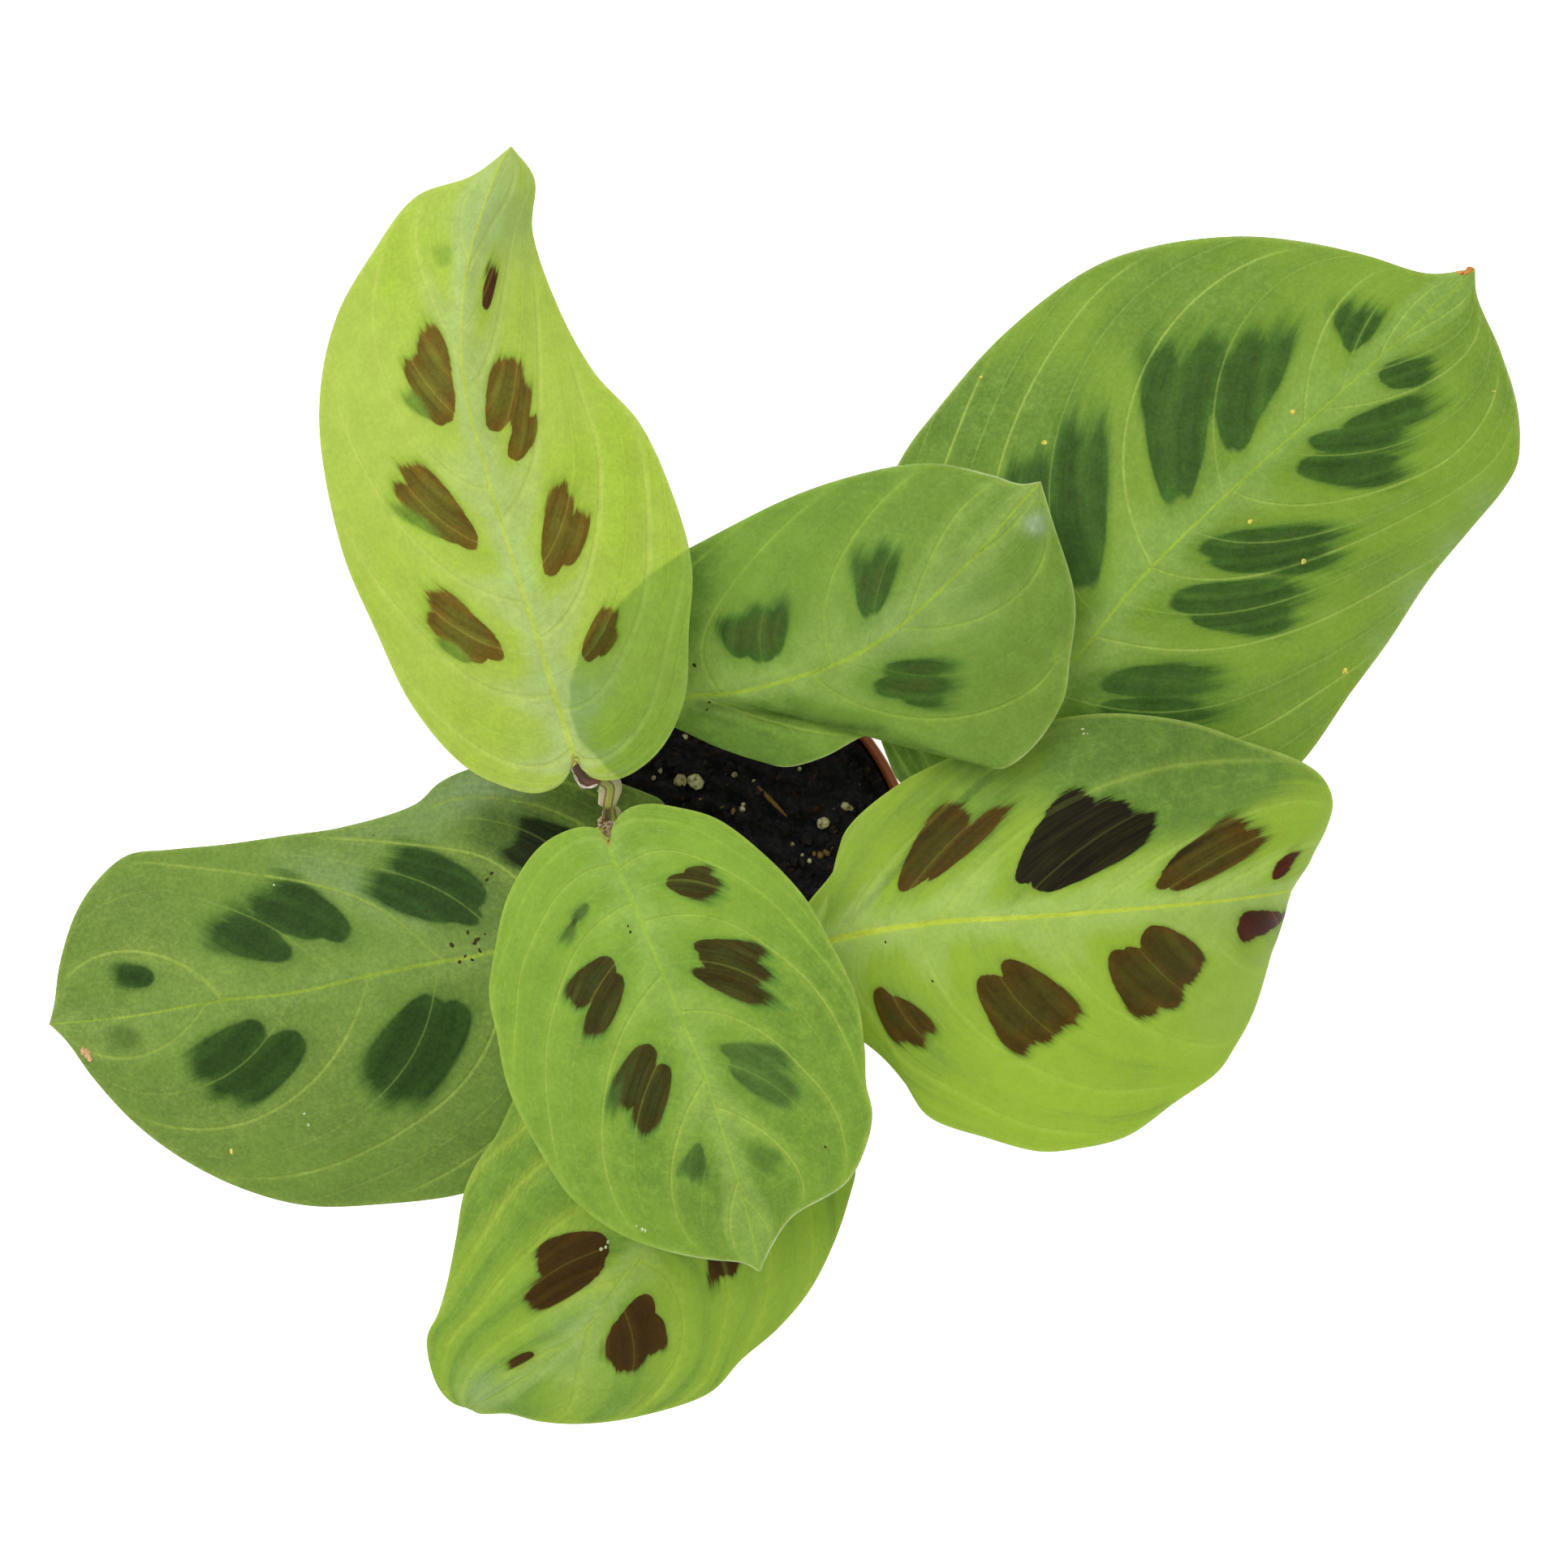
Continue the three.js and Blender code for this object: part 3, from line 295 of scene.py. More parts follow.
LOOKS = {
    "back_left": {
        "colours": LIME_BLOTCHES | {
            "green": (176, 197, 90), "shade": (154, 182, 60), "pale": (174, 195, 126),
            "lime": (192, 207, 104), "rib": (188, 205, 92), "under": (168, 190, 104), "glow": (186, 201, 84),
            "green_lobe": (84, 114, 36),
        },
        "veins": (
            [(0.264, 0.277, 0.34, 0.501), (0.444, 0.46, 0.525, 0.68), (0.607, 0.621, 0.694, 0.84),
             (0.755, 0.807, 0.839, 0.9), (0.874, 0.901, 0.935, 0.97)],
            [(0.228, 0.258, 0.375, 0.602), (0.379, 0.434, 0.56, 0.773), (0.566, 0.622, 0.725, 0.883),
             (0.734, 0.777, 0.877, 1), (0.861, 0.917, 0.977, 1.06)],
        ),
        "brown": [
            (-50, 97, -54.5, 117, 3), (-51, 96.5, -57.5, 111, 3), (-44, 70.5, -59, 88, 3.2),
            (-47, 72, -61, 84, 3), (-38.5, 47, -54, 61, 3), (-42, 46.5, -54, 57, 3),
            (-40.5, 95, -37, 110.5, 3.3), (-36.5, 89, -32.5, 98.5, 2.5), (-35.5, 93, -34, 106, 2),
            (-28.5, 64.5, -26, 84, 3), (-25, 66.5, -21.5, 78, 2.2), (-21, 46.5, -15.5, 57.5, 2.3),
            (-18, 47.5, -14.5, 53, 1.3),
        ],
        "red": [(-42.5, 121, -40.7, 130.5, 1.3, 0)],
        "green": [(-53, 98, -59, 103.5, 1.8), (-50, 73, -61, 80, 2), (-45, 46.5, -52, 52, 2)],
        "faint": [(-51, 130, -51.3, 134, 1.7)],
        "tones": [(-66, 95, 26, -0.12), (-4, 45, 22, 0.1), (-12, 80, 20, 0.12)],
        "painted_sheen": [(-24, 41, 6, 0.35), (-40, 140, 9, 0.5), (-31, 27, 7, 0.15)],
        "painted_shade_and_light": [(-31, 27, 8, -0.35)],
        "painted_shadow_outline": [
            (1.5, 71), (-8, 64.5), (-14.3, 58.4), (-19, 53.5), (-22.4, 48), (-24.4, 42), (-24.6, 36),
            (-22.6, 30), (-17, 24), (-10, 18), (20, 10), (50, 60),
        ],
    },
    "back_middle": {
        "specks": {"soil": [(2, 45.5, 0.4), (5.5, 38, 0.35), (5, 36, 0.3)]},
        "colours": DARK_BLOTCHES | {
            "green": (130, 160, 66), "shade": (108, 140, 58), "pale": (152, 177, 92), "lime": (160, 188, 78),
            "rib": (162, 188, 66), "under": (140, 164, 92), "glow": (132, 179, 48),
            "lobe": (54, 86, 28), "core": (66, 74, 28), "green_lobe": (62, 96, 36), "halo": (92, 134, 52),
        },
        "veins": (
            [(0.397, 0.412, 0.503, 0.692), (0.612, 0.634, 0.705, 0.838), (0.739, 0.82, 0.89, 0.959)],
            [(0.349, 0.346, 0.344, 0.356), (0.574, 0.572, 0.633, 0.783), (0.724, 0.774, 0.86, 0.992)],
        ),
        "brown": [
            (12.5, 47, 10.5, 56, 3.6, 0.3), (16.5, 46, 17, 58, 4), (19, 47.5, 21, 59, 2.2),
            (38.6, 55.5, 37.8, 69, 2.2, 0.3), (39.8, 56, 43.5, 70.5, 2.8, 0.3), (42, 44.6, 57, 45, 2.3),
            (40, 40.8, 57, 41.8, 3), (46, 38.8, 56, 38, 1.9),
        ],
        "creases": [
            (1, 37.8, 44, 31.5, 2.2, 2.4), (0, 36.5, 20, 30, 1.6, 0.9), (1, 37, 22, 33.5, 1.4, 0.7),
            (34, 33, 54, 27.2, 1.3, 0.9),
        ],
        "rims": [(66, 87, 12, 0.45), (80, 60, 20, 0.3), (74, 28, 8, 0.4), (26, 25.5, 9, 0.35)],
        "painted_shade_and_light": [(58, 56, 9, -0.7), (20, 31.7, 7, 0.5)],
        # The tones along x = 2 to 3 are painted shade beside the back left leaf's edge.
        "tones": [
            (14, 32, 12, 0.2), (21, 31, 8, 0.3), (58, 57, 12, -0.3), (60, 40, 22, -0.05), (3, 66, 4, 0.6),
            (3, 58, 4, 0.7), (3, 51, 4, 0.7), (2, 44, 4, 0.6),
        ],
        "painted_sheen": [(74.5, 75.5, 2.2, 1.4), (60, 60, 9, 0.15), (45, 53, 6, 0.2)],
    },
    "back_right": {
        "specks": {
            "orange": [
                (76, 92.5, 0.45), (63, 107, 0.5), (129, 99, 0.5), (120, 76.5, 0.55), (131.5, 68, 0.55),
                (140, 44.5, 0.5), (172, 103.5, 0.5),
            ],
            "dry": [(166.4, 129, 0.8), (165.2, 129, 0.7), (167.2, 129.6, 0.6)],
        },
        "colours": DARK_BLOTCHES | {
            "green": (138, 165, 66), "shade": (98, 128, 54), "pale": (140, 168, 88), "lime": (166, 190, 90),
            "rib": (160, 186, 68), "under": (140, 160, 92), "glow": (160, 190, 52),
        },
        "veins": (
            [(0.184, 0.227, 0.321, 0.515), (0.39, 0.377, 0.459, 0.705), (0.57, 0.595, 0.677, 0.857),
             (0.786, 0.824, 0.871, 0.929), (0.879, 0.93, 0.967, 0.988)],
            [(0.249, 0.304, 0.393, 0.557), (0.46, 0.499, 0.563, 0.689), (0.569, 0.603, 0.693, 0.852),
             (0.688, 0.706, 0.778, 0.924), (0.807, 0.851, 0.904, 0.97), (0.901, 0.951, 0.975, 1.02)],
        ),
        "brown": [
            (83, 61, 82, 97, 4.2, 0), (86.5, 62, 87, 97, 3, 0), (103.5, 79.5, 101, 113.5, 4.6, 0.3),
            (106.5, 81, 109, 114, 3.6, 0.3), (115.8, 91, 115, 114, 3.2, 0.25),
            (117.5, 91, 121, 116, 4.2, 0.3), (120, 97, 128, 117, 2.8, 0.2),
            (141.2, 111.6, 140.7, 122, 2.3, 0.6), (141.8, 112.2, 146.2, 121, 2.4, 0.6),
            (111.6, 98, 112.6, 114.5, 2.4, 0.2), (73.6, 68, 72.4, 89, 4), (77.2, 68, 76.6, 90, 2.8),
            (88.5, 41.7, 112, 43, 3.4), (88, 36.5, 112, 36, 2.6), (103, 58.8, 131, 61, 3.7, 0),
            (107, 57, 129, 56, 4.4), (109.5, 70, 138, 73.5, 3.2, 0), (111, 68.5, 138, 68.5, 3.6, 0),
            (130, 87.5, 152, 87, 3.7), (132.5, 92.8, 153, 94, 3), (139, 94.5, 158.5, 101.5, 2.9),
            (147.5, 106.7, 159, 108, 3.2),
        ],
        "painted_shade_and_light": [(165, 78, 16, -0.4), (47, 27, 9, 0.9)],
        "tones": [
            (60, 96, 20, 0.3), (100, 128, 25, 0.1), (150, 75, 24, -0.15), (128, 30, 18, 0.1),
            (88, 38, 9, 0.4), (47, 27, 9, 0.6),
        ],
        "painted_sheen": [(156, 60, 5, 0.5), (164, 70, 5, 0.45), (149, 50, 4, 0.3), (170, 80, 4, 0.35)],
    },
    "right": {
        "specks": {
            "pale": [(84.3, 31.6, 0.28), (85.2, 31.3, 0.25), (86, 31.5, 0.2)],
            "soil": [(43, -13, 0.28), (53, -22, 0.25)],
        },
        "colours": LIME_BLOTCHES | {
            "green": (160, 184, 68), "shade": (100, 130, 58), "pale": (172, 193, 112), "lime": (184, 204, 92),
            "rib": (198, 208, 74), "under": (154, 174, 96), "glow": (188, 218, 57),
            "lobe": (74, 54, 12), "core": (60, 62, 16), "green_lobe": (62, 70, 20), "halo": (92, 128, 46),
        },
        "veins": (
            [(0.176, 0.254, 0.346, 0.489), (0.395, 0.462, 0.568, 0.769), (0.616, 0.687, 0.763, 0.858),
             (0.755, 0.82, 0.87, 0.93)],
            [(0.239, 0.193, 0.275, 0.567), (0.357, 0.392, 0.492, 0.689), (0.556, 0.592, 0.657, 0.772),
             (0.747, 0.786, 0.832, 0.885)],
        ),
        "brown": [
            (46, -2.5, 59, 15.5, 3.9, 0.4), (52, 0, 68, 15.5, 2, 0.3), (100.3, -1.8, 119, 12.5, 3, 0.3),
            (103, -2, 122.5, 9.7, 2.6, 0.2), (41, -23, 47, -34.5, 2.5), (44, -25, 53, -32, 1.8),
            (43, -27, 51, -35, 2), (63, -20.5, 73, -36.5, 3.5), (64, -21, 79, -33, 4),
            (67.5, -17.5, 83.5, -30, 3.5), (91, -15, 99, -29, 3.5), (93, -15, 105, -26, 4),
            (97.5, -11, 109, -20, 4.5),
        ],
        "red": [
            (124.8, 0.2, 130, 6, 1.2, 0), (117.9, -10.2, 127, -7.4, 2.5, -0.5),
            (118.2, -9, 120.3, -13, 1.8),
        ],
        "deep": [
            (70.8, -0.6, 86, 17.6, 4.4, 0.4), (74, -2, 94, 16, 4.4, 0.4), (76, -2.4, 99.5, 13.4, 3.6, 0.4),
            (102, 1.6, 116.8, 12.9, 1.5, 0),
        ],
        "creases": [(33, -11, 66, 24, 2.4, 1.0)],
        "tones": [
            (62, 27, 16, 0.2), (92, 32, 20, 0.6), (109, 26, 13, 0.6), (122, 26, 10, 0.3),
            (128, 10, 9, -0.2), (80, -45, 26, -0.2), (113, -28, 12, -0.35),
        ],
        "painted_shade_and_light": [(94, 30, 16, 1.0), (110, 27, 9, 1.0), (121, -9, 5, 1.6), (48, 13, 7, 0.7)],
        "painted_sheen": [(113, -28, 10, 0.12)],
    },
    "left": {
        "specks": {
            "soil": [
                (-44, -13, 0.55), (-44.8, -13.4, 0.4), (-49, -14, 0.5), (-45, -17, 0.45), (-46, -11, 0.4),
                (-42, 0, 0.35), (-60, -2, 0.3), (-43.2, -15, 0.45), (-41, 1.5, 0.3), (-62, -1, 0.25),
                (-55, -7, 0.25), (-40, -17.5, 0.4), (-66, 9, 0.25), (-46.3, -16, 0.3), (-42.5, -12, 0.3),
                (-47.5, -17.6, 0.3),
            ],
            "pale": [(-80, -52, 0.3), (-81, -50, 0.25), (-87, -1, 0.3)],
            "tan": [(-127.2, -36.6, 0.9), (-126.2, -38, 0.8), (-126.6, -37.2, 0.8)],
            "orange": [(-96, -57.5, 0.5)],
        },
        "colours": DARK_BLOTCHES | {
            "green": (124, 150, 70), "shade": (106, 128, 60), "pale": (134, 159, 82), "lime": (152, 174, 80),
            "rib": (154, 179, 68), "under": (132, 154, 92), "glow": (128, 166, 58),
            "lobe": (45, 70, 24), "core": (39, 60, 22), "deep": (30, 38, 14), "green_lobe": (48, 70, 24),
            "halo": (80, 112, 46),
        },
        "veins": (
            [(0.191, 0.254, 0.349, 0.536), (0.418, 0.432, 0.523, 0.743), (0.614, 0.646, 0.719, 0.877),
             (0.819, 0.854, 0.922, 1.046)],
            [(0.123, 0.157, 0.268, 0.469), (0.27, 0.352, 0.428, 0.58), (0.504, 0.546, 0.619, 0.828),
             (0.8, 0.823, 0.883, 0.991)],
        ),
        "brown": [
            (-42, -4.5, -62, 4.5, 4.8), (-47, -8, -66.5, -0.5, 3.8), (-43, -9, -60, 0.5, 3.5),
            (-71, -12.5, -87, -1, 4), (-75, -11, -92, -5, 4), (-83, -16, -101, -11, 3.4),
            (-85, -14, -97, -7, 2.5), (-112.5, -21, -121, -20.5, 2.5), (-52, -25, -67, -43.5, 5, 0),
            (-47, -26, -59, -47, 5, 0), (-51, -29, -64, -46.5, 4), (-89, -31, -104, -40.5, 4.2),
            (-81, -33, -96, -46, 5), (-90, -36, -100, -45, 3),
        ],
        "deep": [(-18, 3.5, -39, 9.5, 5.6)],
        "faint": [(-115.5, -34, -121, -33.3, 2.2), (-33, 8.5, -45, 12.5, 4)],
        "painted_shade_and_light": [(-28, 14, 9, 1.2), (-38, 10, 8, 0.8), (-44, -6, 10, 0.3), (-17, 16, 7, 1.8)],
        "tones": [(-33, 8, 11, 0.5), (-30, -30, 20, 0.15), (-90, 0, 26, -0.05), (-17, 16, 8, 0.4)],
        "painted_sheen": [
            (-36, 22, 5, 0.5), (-42, 20, 4, 0.35), (-47, 18.5, 5, 0.5), (-56, 14, 6, 0.3),
            (-85, 4, 4, 0.12), (-78, 2, 4, 0.3), (-71, -1, 4, 0.35), (-64, -4.5, 4, 0.35),
            (-57, -8.5, 3, 0.2), (-68, 10, 6, 0.15),
        ],
    },
    "middle": {
        "specks": {
            "soil": [(-12, -10, 0.3), (-11.6, -11, 0.22), (29.5, -56.5, 0.25)],
            "pale": [(-10, -74, 0.3), (-9.2, -74.4, 0.35), (-8.5, -74.6, 0.3)],
        },
        "colours": LIME_BLOTCHES | {
            "green": (146, 176, 68), "shade": (118, 150, 58), "pale": (150, 178, 88), "lime": (176, 200, 84),
            "rib": (160, 188, 76), "under": (146, 172, 92), "glow": (161, 208, 50),
            "lobe": (56, 46, 12), "core": (50, 54, 16), "green_lobe": (68, 96, 40), "halo": (78, 124, 52),
        },
        "veins": (
            [(0.192, 0.204, 0.297, 0.567), (0.366, 0.383, 0.464, 0.673), (0.569, 0.59, 0.668, 0.828),
             (0.74, 0.776, 0.828, 0.904), (0.885, 0.915, 0.94, 0.98)],
            [(0.167, 0.207, 0.307, 0.537), (0.309, 0.358, 0.469, 0.679), (0.488, 0.558, 0.662, 0.834),
             (0.692, 0.753, 0.832, 0.936), (0.862, 0.908, 0.955, 1)],
        ),
        "brown": [
            (-15, -17, -24, -26, 3.5), (-13.5, -20, -20, -33, 2.8), (-7, -35, -14, -48, 3.5),
            (-4, -39, -9, -53.5, 3), (3, -56.6, 2.2, -62.4, 1.6, 0.5), (-4, -0.5, 7.5, -1.5, 2.2),
            (0, 1.5, 6, 1.5, 1.4), (-2, -2.4, 6, -4, 1.1), (-21.8, -6.4, -24.6, -11.5, 0.6),
            (2, -14, 17, -16, 2.3), (3, -16.3, 18, -21, 2.5), (1.5, -19.2, 18, -26, 2),
        ],
        "green": [
            (7.5, -35.6, 22, -39, 2.5, 0.3), (9.5, -38.5, 23, -46.2, 3.3, 0.2),
            (15.2, -57.6, 18.4, -59.8, 1.5), (-20.6, -5, -23, -8.6, 1.3), (-23, -9, -25.3, -13, 1),
            (3, -55.8, 1.8, -63.4, 2.3, 0.5), (-10, -37.5, -15.9, -48.8, 1.9),
        ],
        "faint": [(13.5, -57.8, 19.5, -60, 2.2)],
        "painted_shade_and_light": [(2, -60, 14, 0.35), (30, -29, 9, 0.5), (9, -72, 10, 0.7), (6, 9, 9, -0.6)],
        "tones": [
            (6, 8, 10, -0.4), (30, -28, 9, 0.4), (10, -70, 18, 0.35), (-25, -10, 20, -0.15),
            (17, -55, 13, 0.4), (26, -50, 9, 0.25), (4, -47, 7, 0.25), (-6, -60, 8, 0.3),
            (-19, -62, 6, 0.3), (16, -3, 12, -0.15), (3, -65, 6, 0.3), (-17, -36, 5, 0.2),
            (21, -30, 7, 0.15),
        ],
        "rims": [(30, -68, 10, 0.9), (18, -78, 6, 0.9), (4, -81, 8, 0.6)],
    },
    "front": {
        # The pale specks on this leaf are a painted glint.
        "specks": {"pale": [(-16.2, -77, 0.4), (-16.8, -77.8, 0.4), (-17.4, -78.4, 0.3)]},
        "colours": LIME_BLOTCHES | {
            "green": (146, 172, 68), "shade": (114, 146, 58), "pale": (156, 178, 98), "lime": (166, 186, 72),
            "rib": (166, 188, 80), "under": (146, 168, 90), "glow": (164, 202, 54),
            "lobe": (60, 40, 6), "core": (54, 36, 6), "green_lobe": (62, 54, 14), "halo": (96, 122, 46),
        },
        "veins": (
            [(0.283, 0.3, 0.344, 0.477), (0.448, 0.428, 0.466, 0.621), (0.559, 0.534, 0.572, 0.724),
             (0.646, 0.632, 0.682, 0.788), (0.773, 0.83, 0.853, 0.887)],
            [(0.301, 0.378, 0.518, 0.78), (0.536, 0.575, 0.716, 1.005), (0.685, 0.781, 0.924, 1.121),
             (0.812, 0.944, 1.092, 1.254)],
        ),
        "brown": [
            (-16, -77, -31, -82, 4.5), (-17, -80, -33, -90, 3.5), (-7.5, -88, -14.2, -103.6, 4.3, 0.36),
            (-7, -92, -6.5, -100.5, 3), (-32, -100.5, -37, -103, 1.1), (8.3, -74, 8.3, -84.4, 3.6, 0),
            (6, -76, 6.2, -86, 1.2),
        ],
        "tones": [(-40, -60, 16, 0.3), (20, -85, 22, -0.45), (-27, -66, 5, 0.5)],
        "painted_shade_and_light": [(24, -83, 14, -1.4), (-14, -108, 13, -0.7)],
        "painted_sheen": [(-43, -108, 5, 0.5), (-22, -104, 6, 0.2), (-25, -95, 6, 0.22)],
    },
}

# Numbers for each leaf: one column for each, in the order of LEAVES.

LEAF_NUMBERS = {
    "line": (0.8, 0.6, 0.5, 0.9, 0.6, 0.5, 0.8),  # half width of a strong side vein, in mm
    "vein": (0.24, 0.5, 0.65, 0.2, 0.8, 0.4, 0.35),  # how much of the vein colour the strong side veins show
    "fine": (0.1, 0.08, 0.28, 0.07, 0.25, 0.12, 0.08),  # the same for the fine veins between them
    "band": (0.2, 0.2, 0.1, 0.1, 0.14, 0.22, 0.4),  # pale band along each strong vein, partly its paler colour and partly painted light
    "groove": (0.1, 0.15, 0.1, 0.1, 0.12, 0.2, 0.45),  # painted shade: a darker strip midway between two strong veins
    "flecks": (0.2, 0.9, 0.8, 0.5, 1, 0.7, 0.5),  # fine light and dark flecks
    "grainy": (1, 1, 1.3, 1, 1.8, 1, 1),  # contrast of the finest grain
    "crinkle_highlight": (0, 0, 0, 0, 0, 0, 0.22),  # painted highlights on crosswise wrinkles
    "hairline": (0.1, 0.15, 0.3, 0.1, 0.1, 0.08, 0.1),  # pale line along the edge
    "rib_width": (0.85, 0.95, 0.7, 1, 0.9, 0.7, 0.6),  # half width of the midrib's line at the stalk, in mm
    "silver": (11, 12, 11, 12, 12, 9, 9),  # width of the silvery zone beside the midrib, in mm
    "silver_share": (0.78, 0.7, 0.75, 0.75, 0.6, 0.7, 0.8),  # how silvery that zone is
    "quilt": (0.5, 0.55, 0.55, 0.7, 0.5, 0.6, 1),  # height of the quilting between the side veins, in mm
    "wave": (0.6, 0.8, 1, 0.8, 0.8, 0.7, 1),  # share of EDGE_WAVE by which the edge waves
    "ragged": (1.5, 1.5, 2.2, 1.4, 1.5, 1.4, 1.2),  # how far the lobes fray at their outer ends, in mm
    "halo": (1.2, 1.4, 1.8, 0.9, 1.6, 1.1, 0.8),  # width of the halo round a lobe, in mm
    "soft": (0.2, 0.6, 0.5, 0.18, 0.55, 0.25, 0.18),  # softness of a lobe's edge, in mm
    "thick": (0.78, 1, 1, 1, 1, 1, 1),  # radius of the stalk, in mm
    "dark_at": (0.62, 0.78, 0.78, 0.78, 0.78, 0.78, 0.78),  # share of the stalk where its maroon joint begins
}

# Places and curves

CURVE_SAMPLES = 60


def placed(points):
    """Points read on the rim's level, moved along the line of sight to their own heights."""
    p = np.array(points, float)
    scale = (VIEW_HEIGHT - p[:, 2:]) / (VIEW_HEIGHT - RIM_HEIGHT)
    return np.hstack([VIEW + (p[:, :2] - VIEW) * scale, p[:, 2:]])


def seen(points):
    """Where places appear on the rim's level: the inverse of placed, without the height."""
    scale = (VIEW_HEIGHT - RIM_HEIGHT) / (VIEW_HEIGHT - points[..., 2:])
    return VIEW + (points[..., :2] - VIEW) * scale


def curve_through(points):
    """Centripetal Catmull-Rom curve as a function of the share of its length.

    Each span is a cubic whose end slopes weigh the chords by the root of their length. The spans are
    sampled, and a share of the run is looked up in the samples.
    """
    p = placed(points)
    p = np.vstack([2 * p[0] - p[1], p, 2 * p[-1] - p[-2]])
    gap = np.sqrt(np.linalg.norm(np.diff(p, axis=0), axis=1))[:, None, None]
    a, b, c, d = (q[:, None, :] for q in (p[:-3], p[1:-2], p[2:-1], p[3:]))
    g0, g1, g2 = gap[:-2], gap[1:-1], gap[2:]
    leave = g1 * ((b - a) / g0 - (c - a) / (g0 + g1) + (c - b) / g1)
    arrive = g1 * ((c - b) / g1 - (d - b) / (g1 + g2) + (d - c) / g2)
    t = np.linspace(0, 1, CURVE_SAMPLES, endpoint=False)[None, :, None]
    q = b + leave * t + (3 * (c - b) - 2 * leave - arrive) * t**2 + (2 * (b - c) + leave + arrive) * t**3
    q = np.vstack([q.reshape(-1, 3), p[-2]])
    run = np.concatenate([[0], np.cumsum(np.linalg.norm(np.diff(q, axis=0), axis=1))])

    def at(share):
        return np.stack([np.interp(share, run / run[-1], q[:, k]) for k in range(3)], axis=-1)

    return at


def unit(v):
    """The vectors divided by their lengths."""
    return v / np.maximum(np.linalg.norm(v, axis=-1, keepdims=True), 1e-9)


def direction(curve, share):
    """Unit direction in which a curve runs: the chord between the points a thousandth before and after."""
    step = 1e-3
    return unit(curve(np.minimum(share + step, 1)) - curve(np.maximum(share - step, 0)))


def bump(x, centre, width):
    """Bell: 1 at the centre, falling as exp(-(distance / width)^2)."""
    return np.exp(-(((x - centre) / width) ** 2))


def ramp(x, low, high):
    """Smooth step from 0 at low to 1 at high: 3t^2 - 2t^3 of the clamped share t."""
    t = np.clip((x - low) / (high - low), 0, 1)
    return t * t * (3 - 2 * t)


def lumps(x, y, size, seed):
    """Soft noise between about -1 and 1: twelve crossed sine waves of the given size in random directions."""
    waves = np.random.default_rng(seed)
    total = 0
    for _ in range(12):
        angle, phase = waves.uniform(0, 2 * np.pi, 2)
        length = size * waves.uniform(0.7, 1.6)
        total = total + np.sin(2 * np.pi * (x * np.cos(angle) + y * np.sin(angle)) / length + phase)
    return total / 3.5


# Meshes


def linked(name, data):
    """A new object in the scene."""
    made = bpy.data.objects.new(name, data)
    bpy.context.scene.collection.objects.link(made)
    return made


def piece(name, points, faces, finish, node=None):
    """A mesh piece from points in millimetres and arrays of quads or triangles, riding on the one body."""
    mesh = bpy.data.meshes.new(name)
    mesh.vertices.add(len(points))
    mesh.vertices.foreach_set("co", (points * MM).astype(np.float32).ravel())
    corners = np.concatenate([f.ravel() for f in faces])
    sides = np.concatenate([np.full(len(f), f.shape[1]) for f in faces])
    starts = np.cumsum(sides) - sides
    mesh.loops.add(len(corners))
    mesh.loops.foreach_set("vertex_index", corners.astype(np.int32))
    mesh.polygons.add(len(starts))
    mesh.polygons.foreach_set("loop_start", starts.astype(np.int32))
    mesh.update(calc_edges=True)
    mesh.validate()
    mesh.shade_smooth()
    mesh.materials.append(finish)
    made = linked(name, mesh)
    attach(made, "root")
    if node:
        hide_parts(node)
    return made


def stored(made, **numbers):
    """Keeps one number for each point of the piece's mesh, for its finish to read."""
    for name, values in numbers.items():
        layer = made.data.attributes.new(name, "FLOAT", "POINT")
        layer.data.foreach_set("value", np.asarray(values, np.float32).ravel())


def grid_quads(rows, columns, closed=False):
    """Quads of a grid of points. A closed grid joins its last column to its first."""
    across = columns if closed else columns - 1
    i, j = np.meshgrid(np.arange(rows - 1), np.arange(across), indexing="ij")
    near, next_near = i * columns + j, i * columns + (j + 1) % columns
    return np.stack([near, next_near, next_near + columns, near + columns], -1).reshape(-1, 4)


def tube_faces(rows, sides):
    """Faces of a closed tube: quads between its rings of points, and a fan at each end round its pole. The
    poles are the two points after the last ring."""
    j = np.arange(sides)
    onward = (j + 1) % sides
    pole = np.full(sides, rows * sides)
    top = (rows - 1) * sides
    fans = [np.stack([pole, onward, j], -1), np.stack([pole + 1, top + j, top + onward], -1)]
    return [grid_quads(rows, sides, closed=True), *fans]


def lump_grid(rows, sides):
    """Unit ball as rings between two poles: its points and its faces."""
    rise = np.linspace(-np.pi / 2, np.pi / 2, rows + 2)[1:-1, None]
    turn = np.linspace(0, 2 * np.pi, sides, endpoint=False)[None, :]
    ring = np.stack([np.cos(rise) * np.cos(turn), np.cos(rise) * np.sin(turn), np.sin(rise) + 0 * turn], -1)
    return np.concatenate([ring.reshape(-1, 3), [[0, 0, -1], [0, 0, 1]]]), tube_faces(rows, sides)


FLATTENED = 0.35


def scattered(name, centres, sizes, finish, slot, roughness, rows, sides, lie=None):
    """Many rough lumps as one piece: a ball stretched to (x, y, z) sizes, turned at random, its points pushed
    in and out by a random share of the radius. With lie, the upward directions of the surface under them,
    the lumps are flattened onto that surface to the share FLATTENED."""
    ball, ball_faces = lump_grid(rows, sides)
    count = len(centres)
    push = 1 + roughness * random.uniform(-1, 1, (count, len(ball), 1))
    turns = random.normal(size=(count, 3, 3))
    turns = np.linalg.qr(turns)[0]
    turns *= np.sign(np.linalg.det(turns))[:, None, None]
    offsets = np.einsum("nij,nkj->nki", turns, ball[None] * push * sizes[:, None])
    if lie is not None:
        offsets -= (1 - FLATTENED) * np.einsum("nki,ni->nk", offsets, lie)[..., None] * lie[:, None]
    points = centres[:, None] + offsets
    shift = (np.arange(count) * len(ball))[:, None, None]
    faces = [(f[None] + shift).reshape(-1, f.shape[1]) for f in ball_faces]
    piece(name, points.reshape(-1, 3), faces, finish)


# Finishes


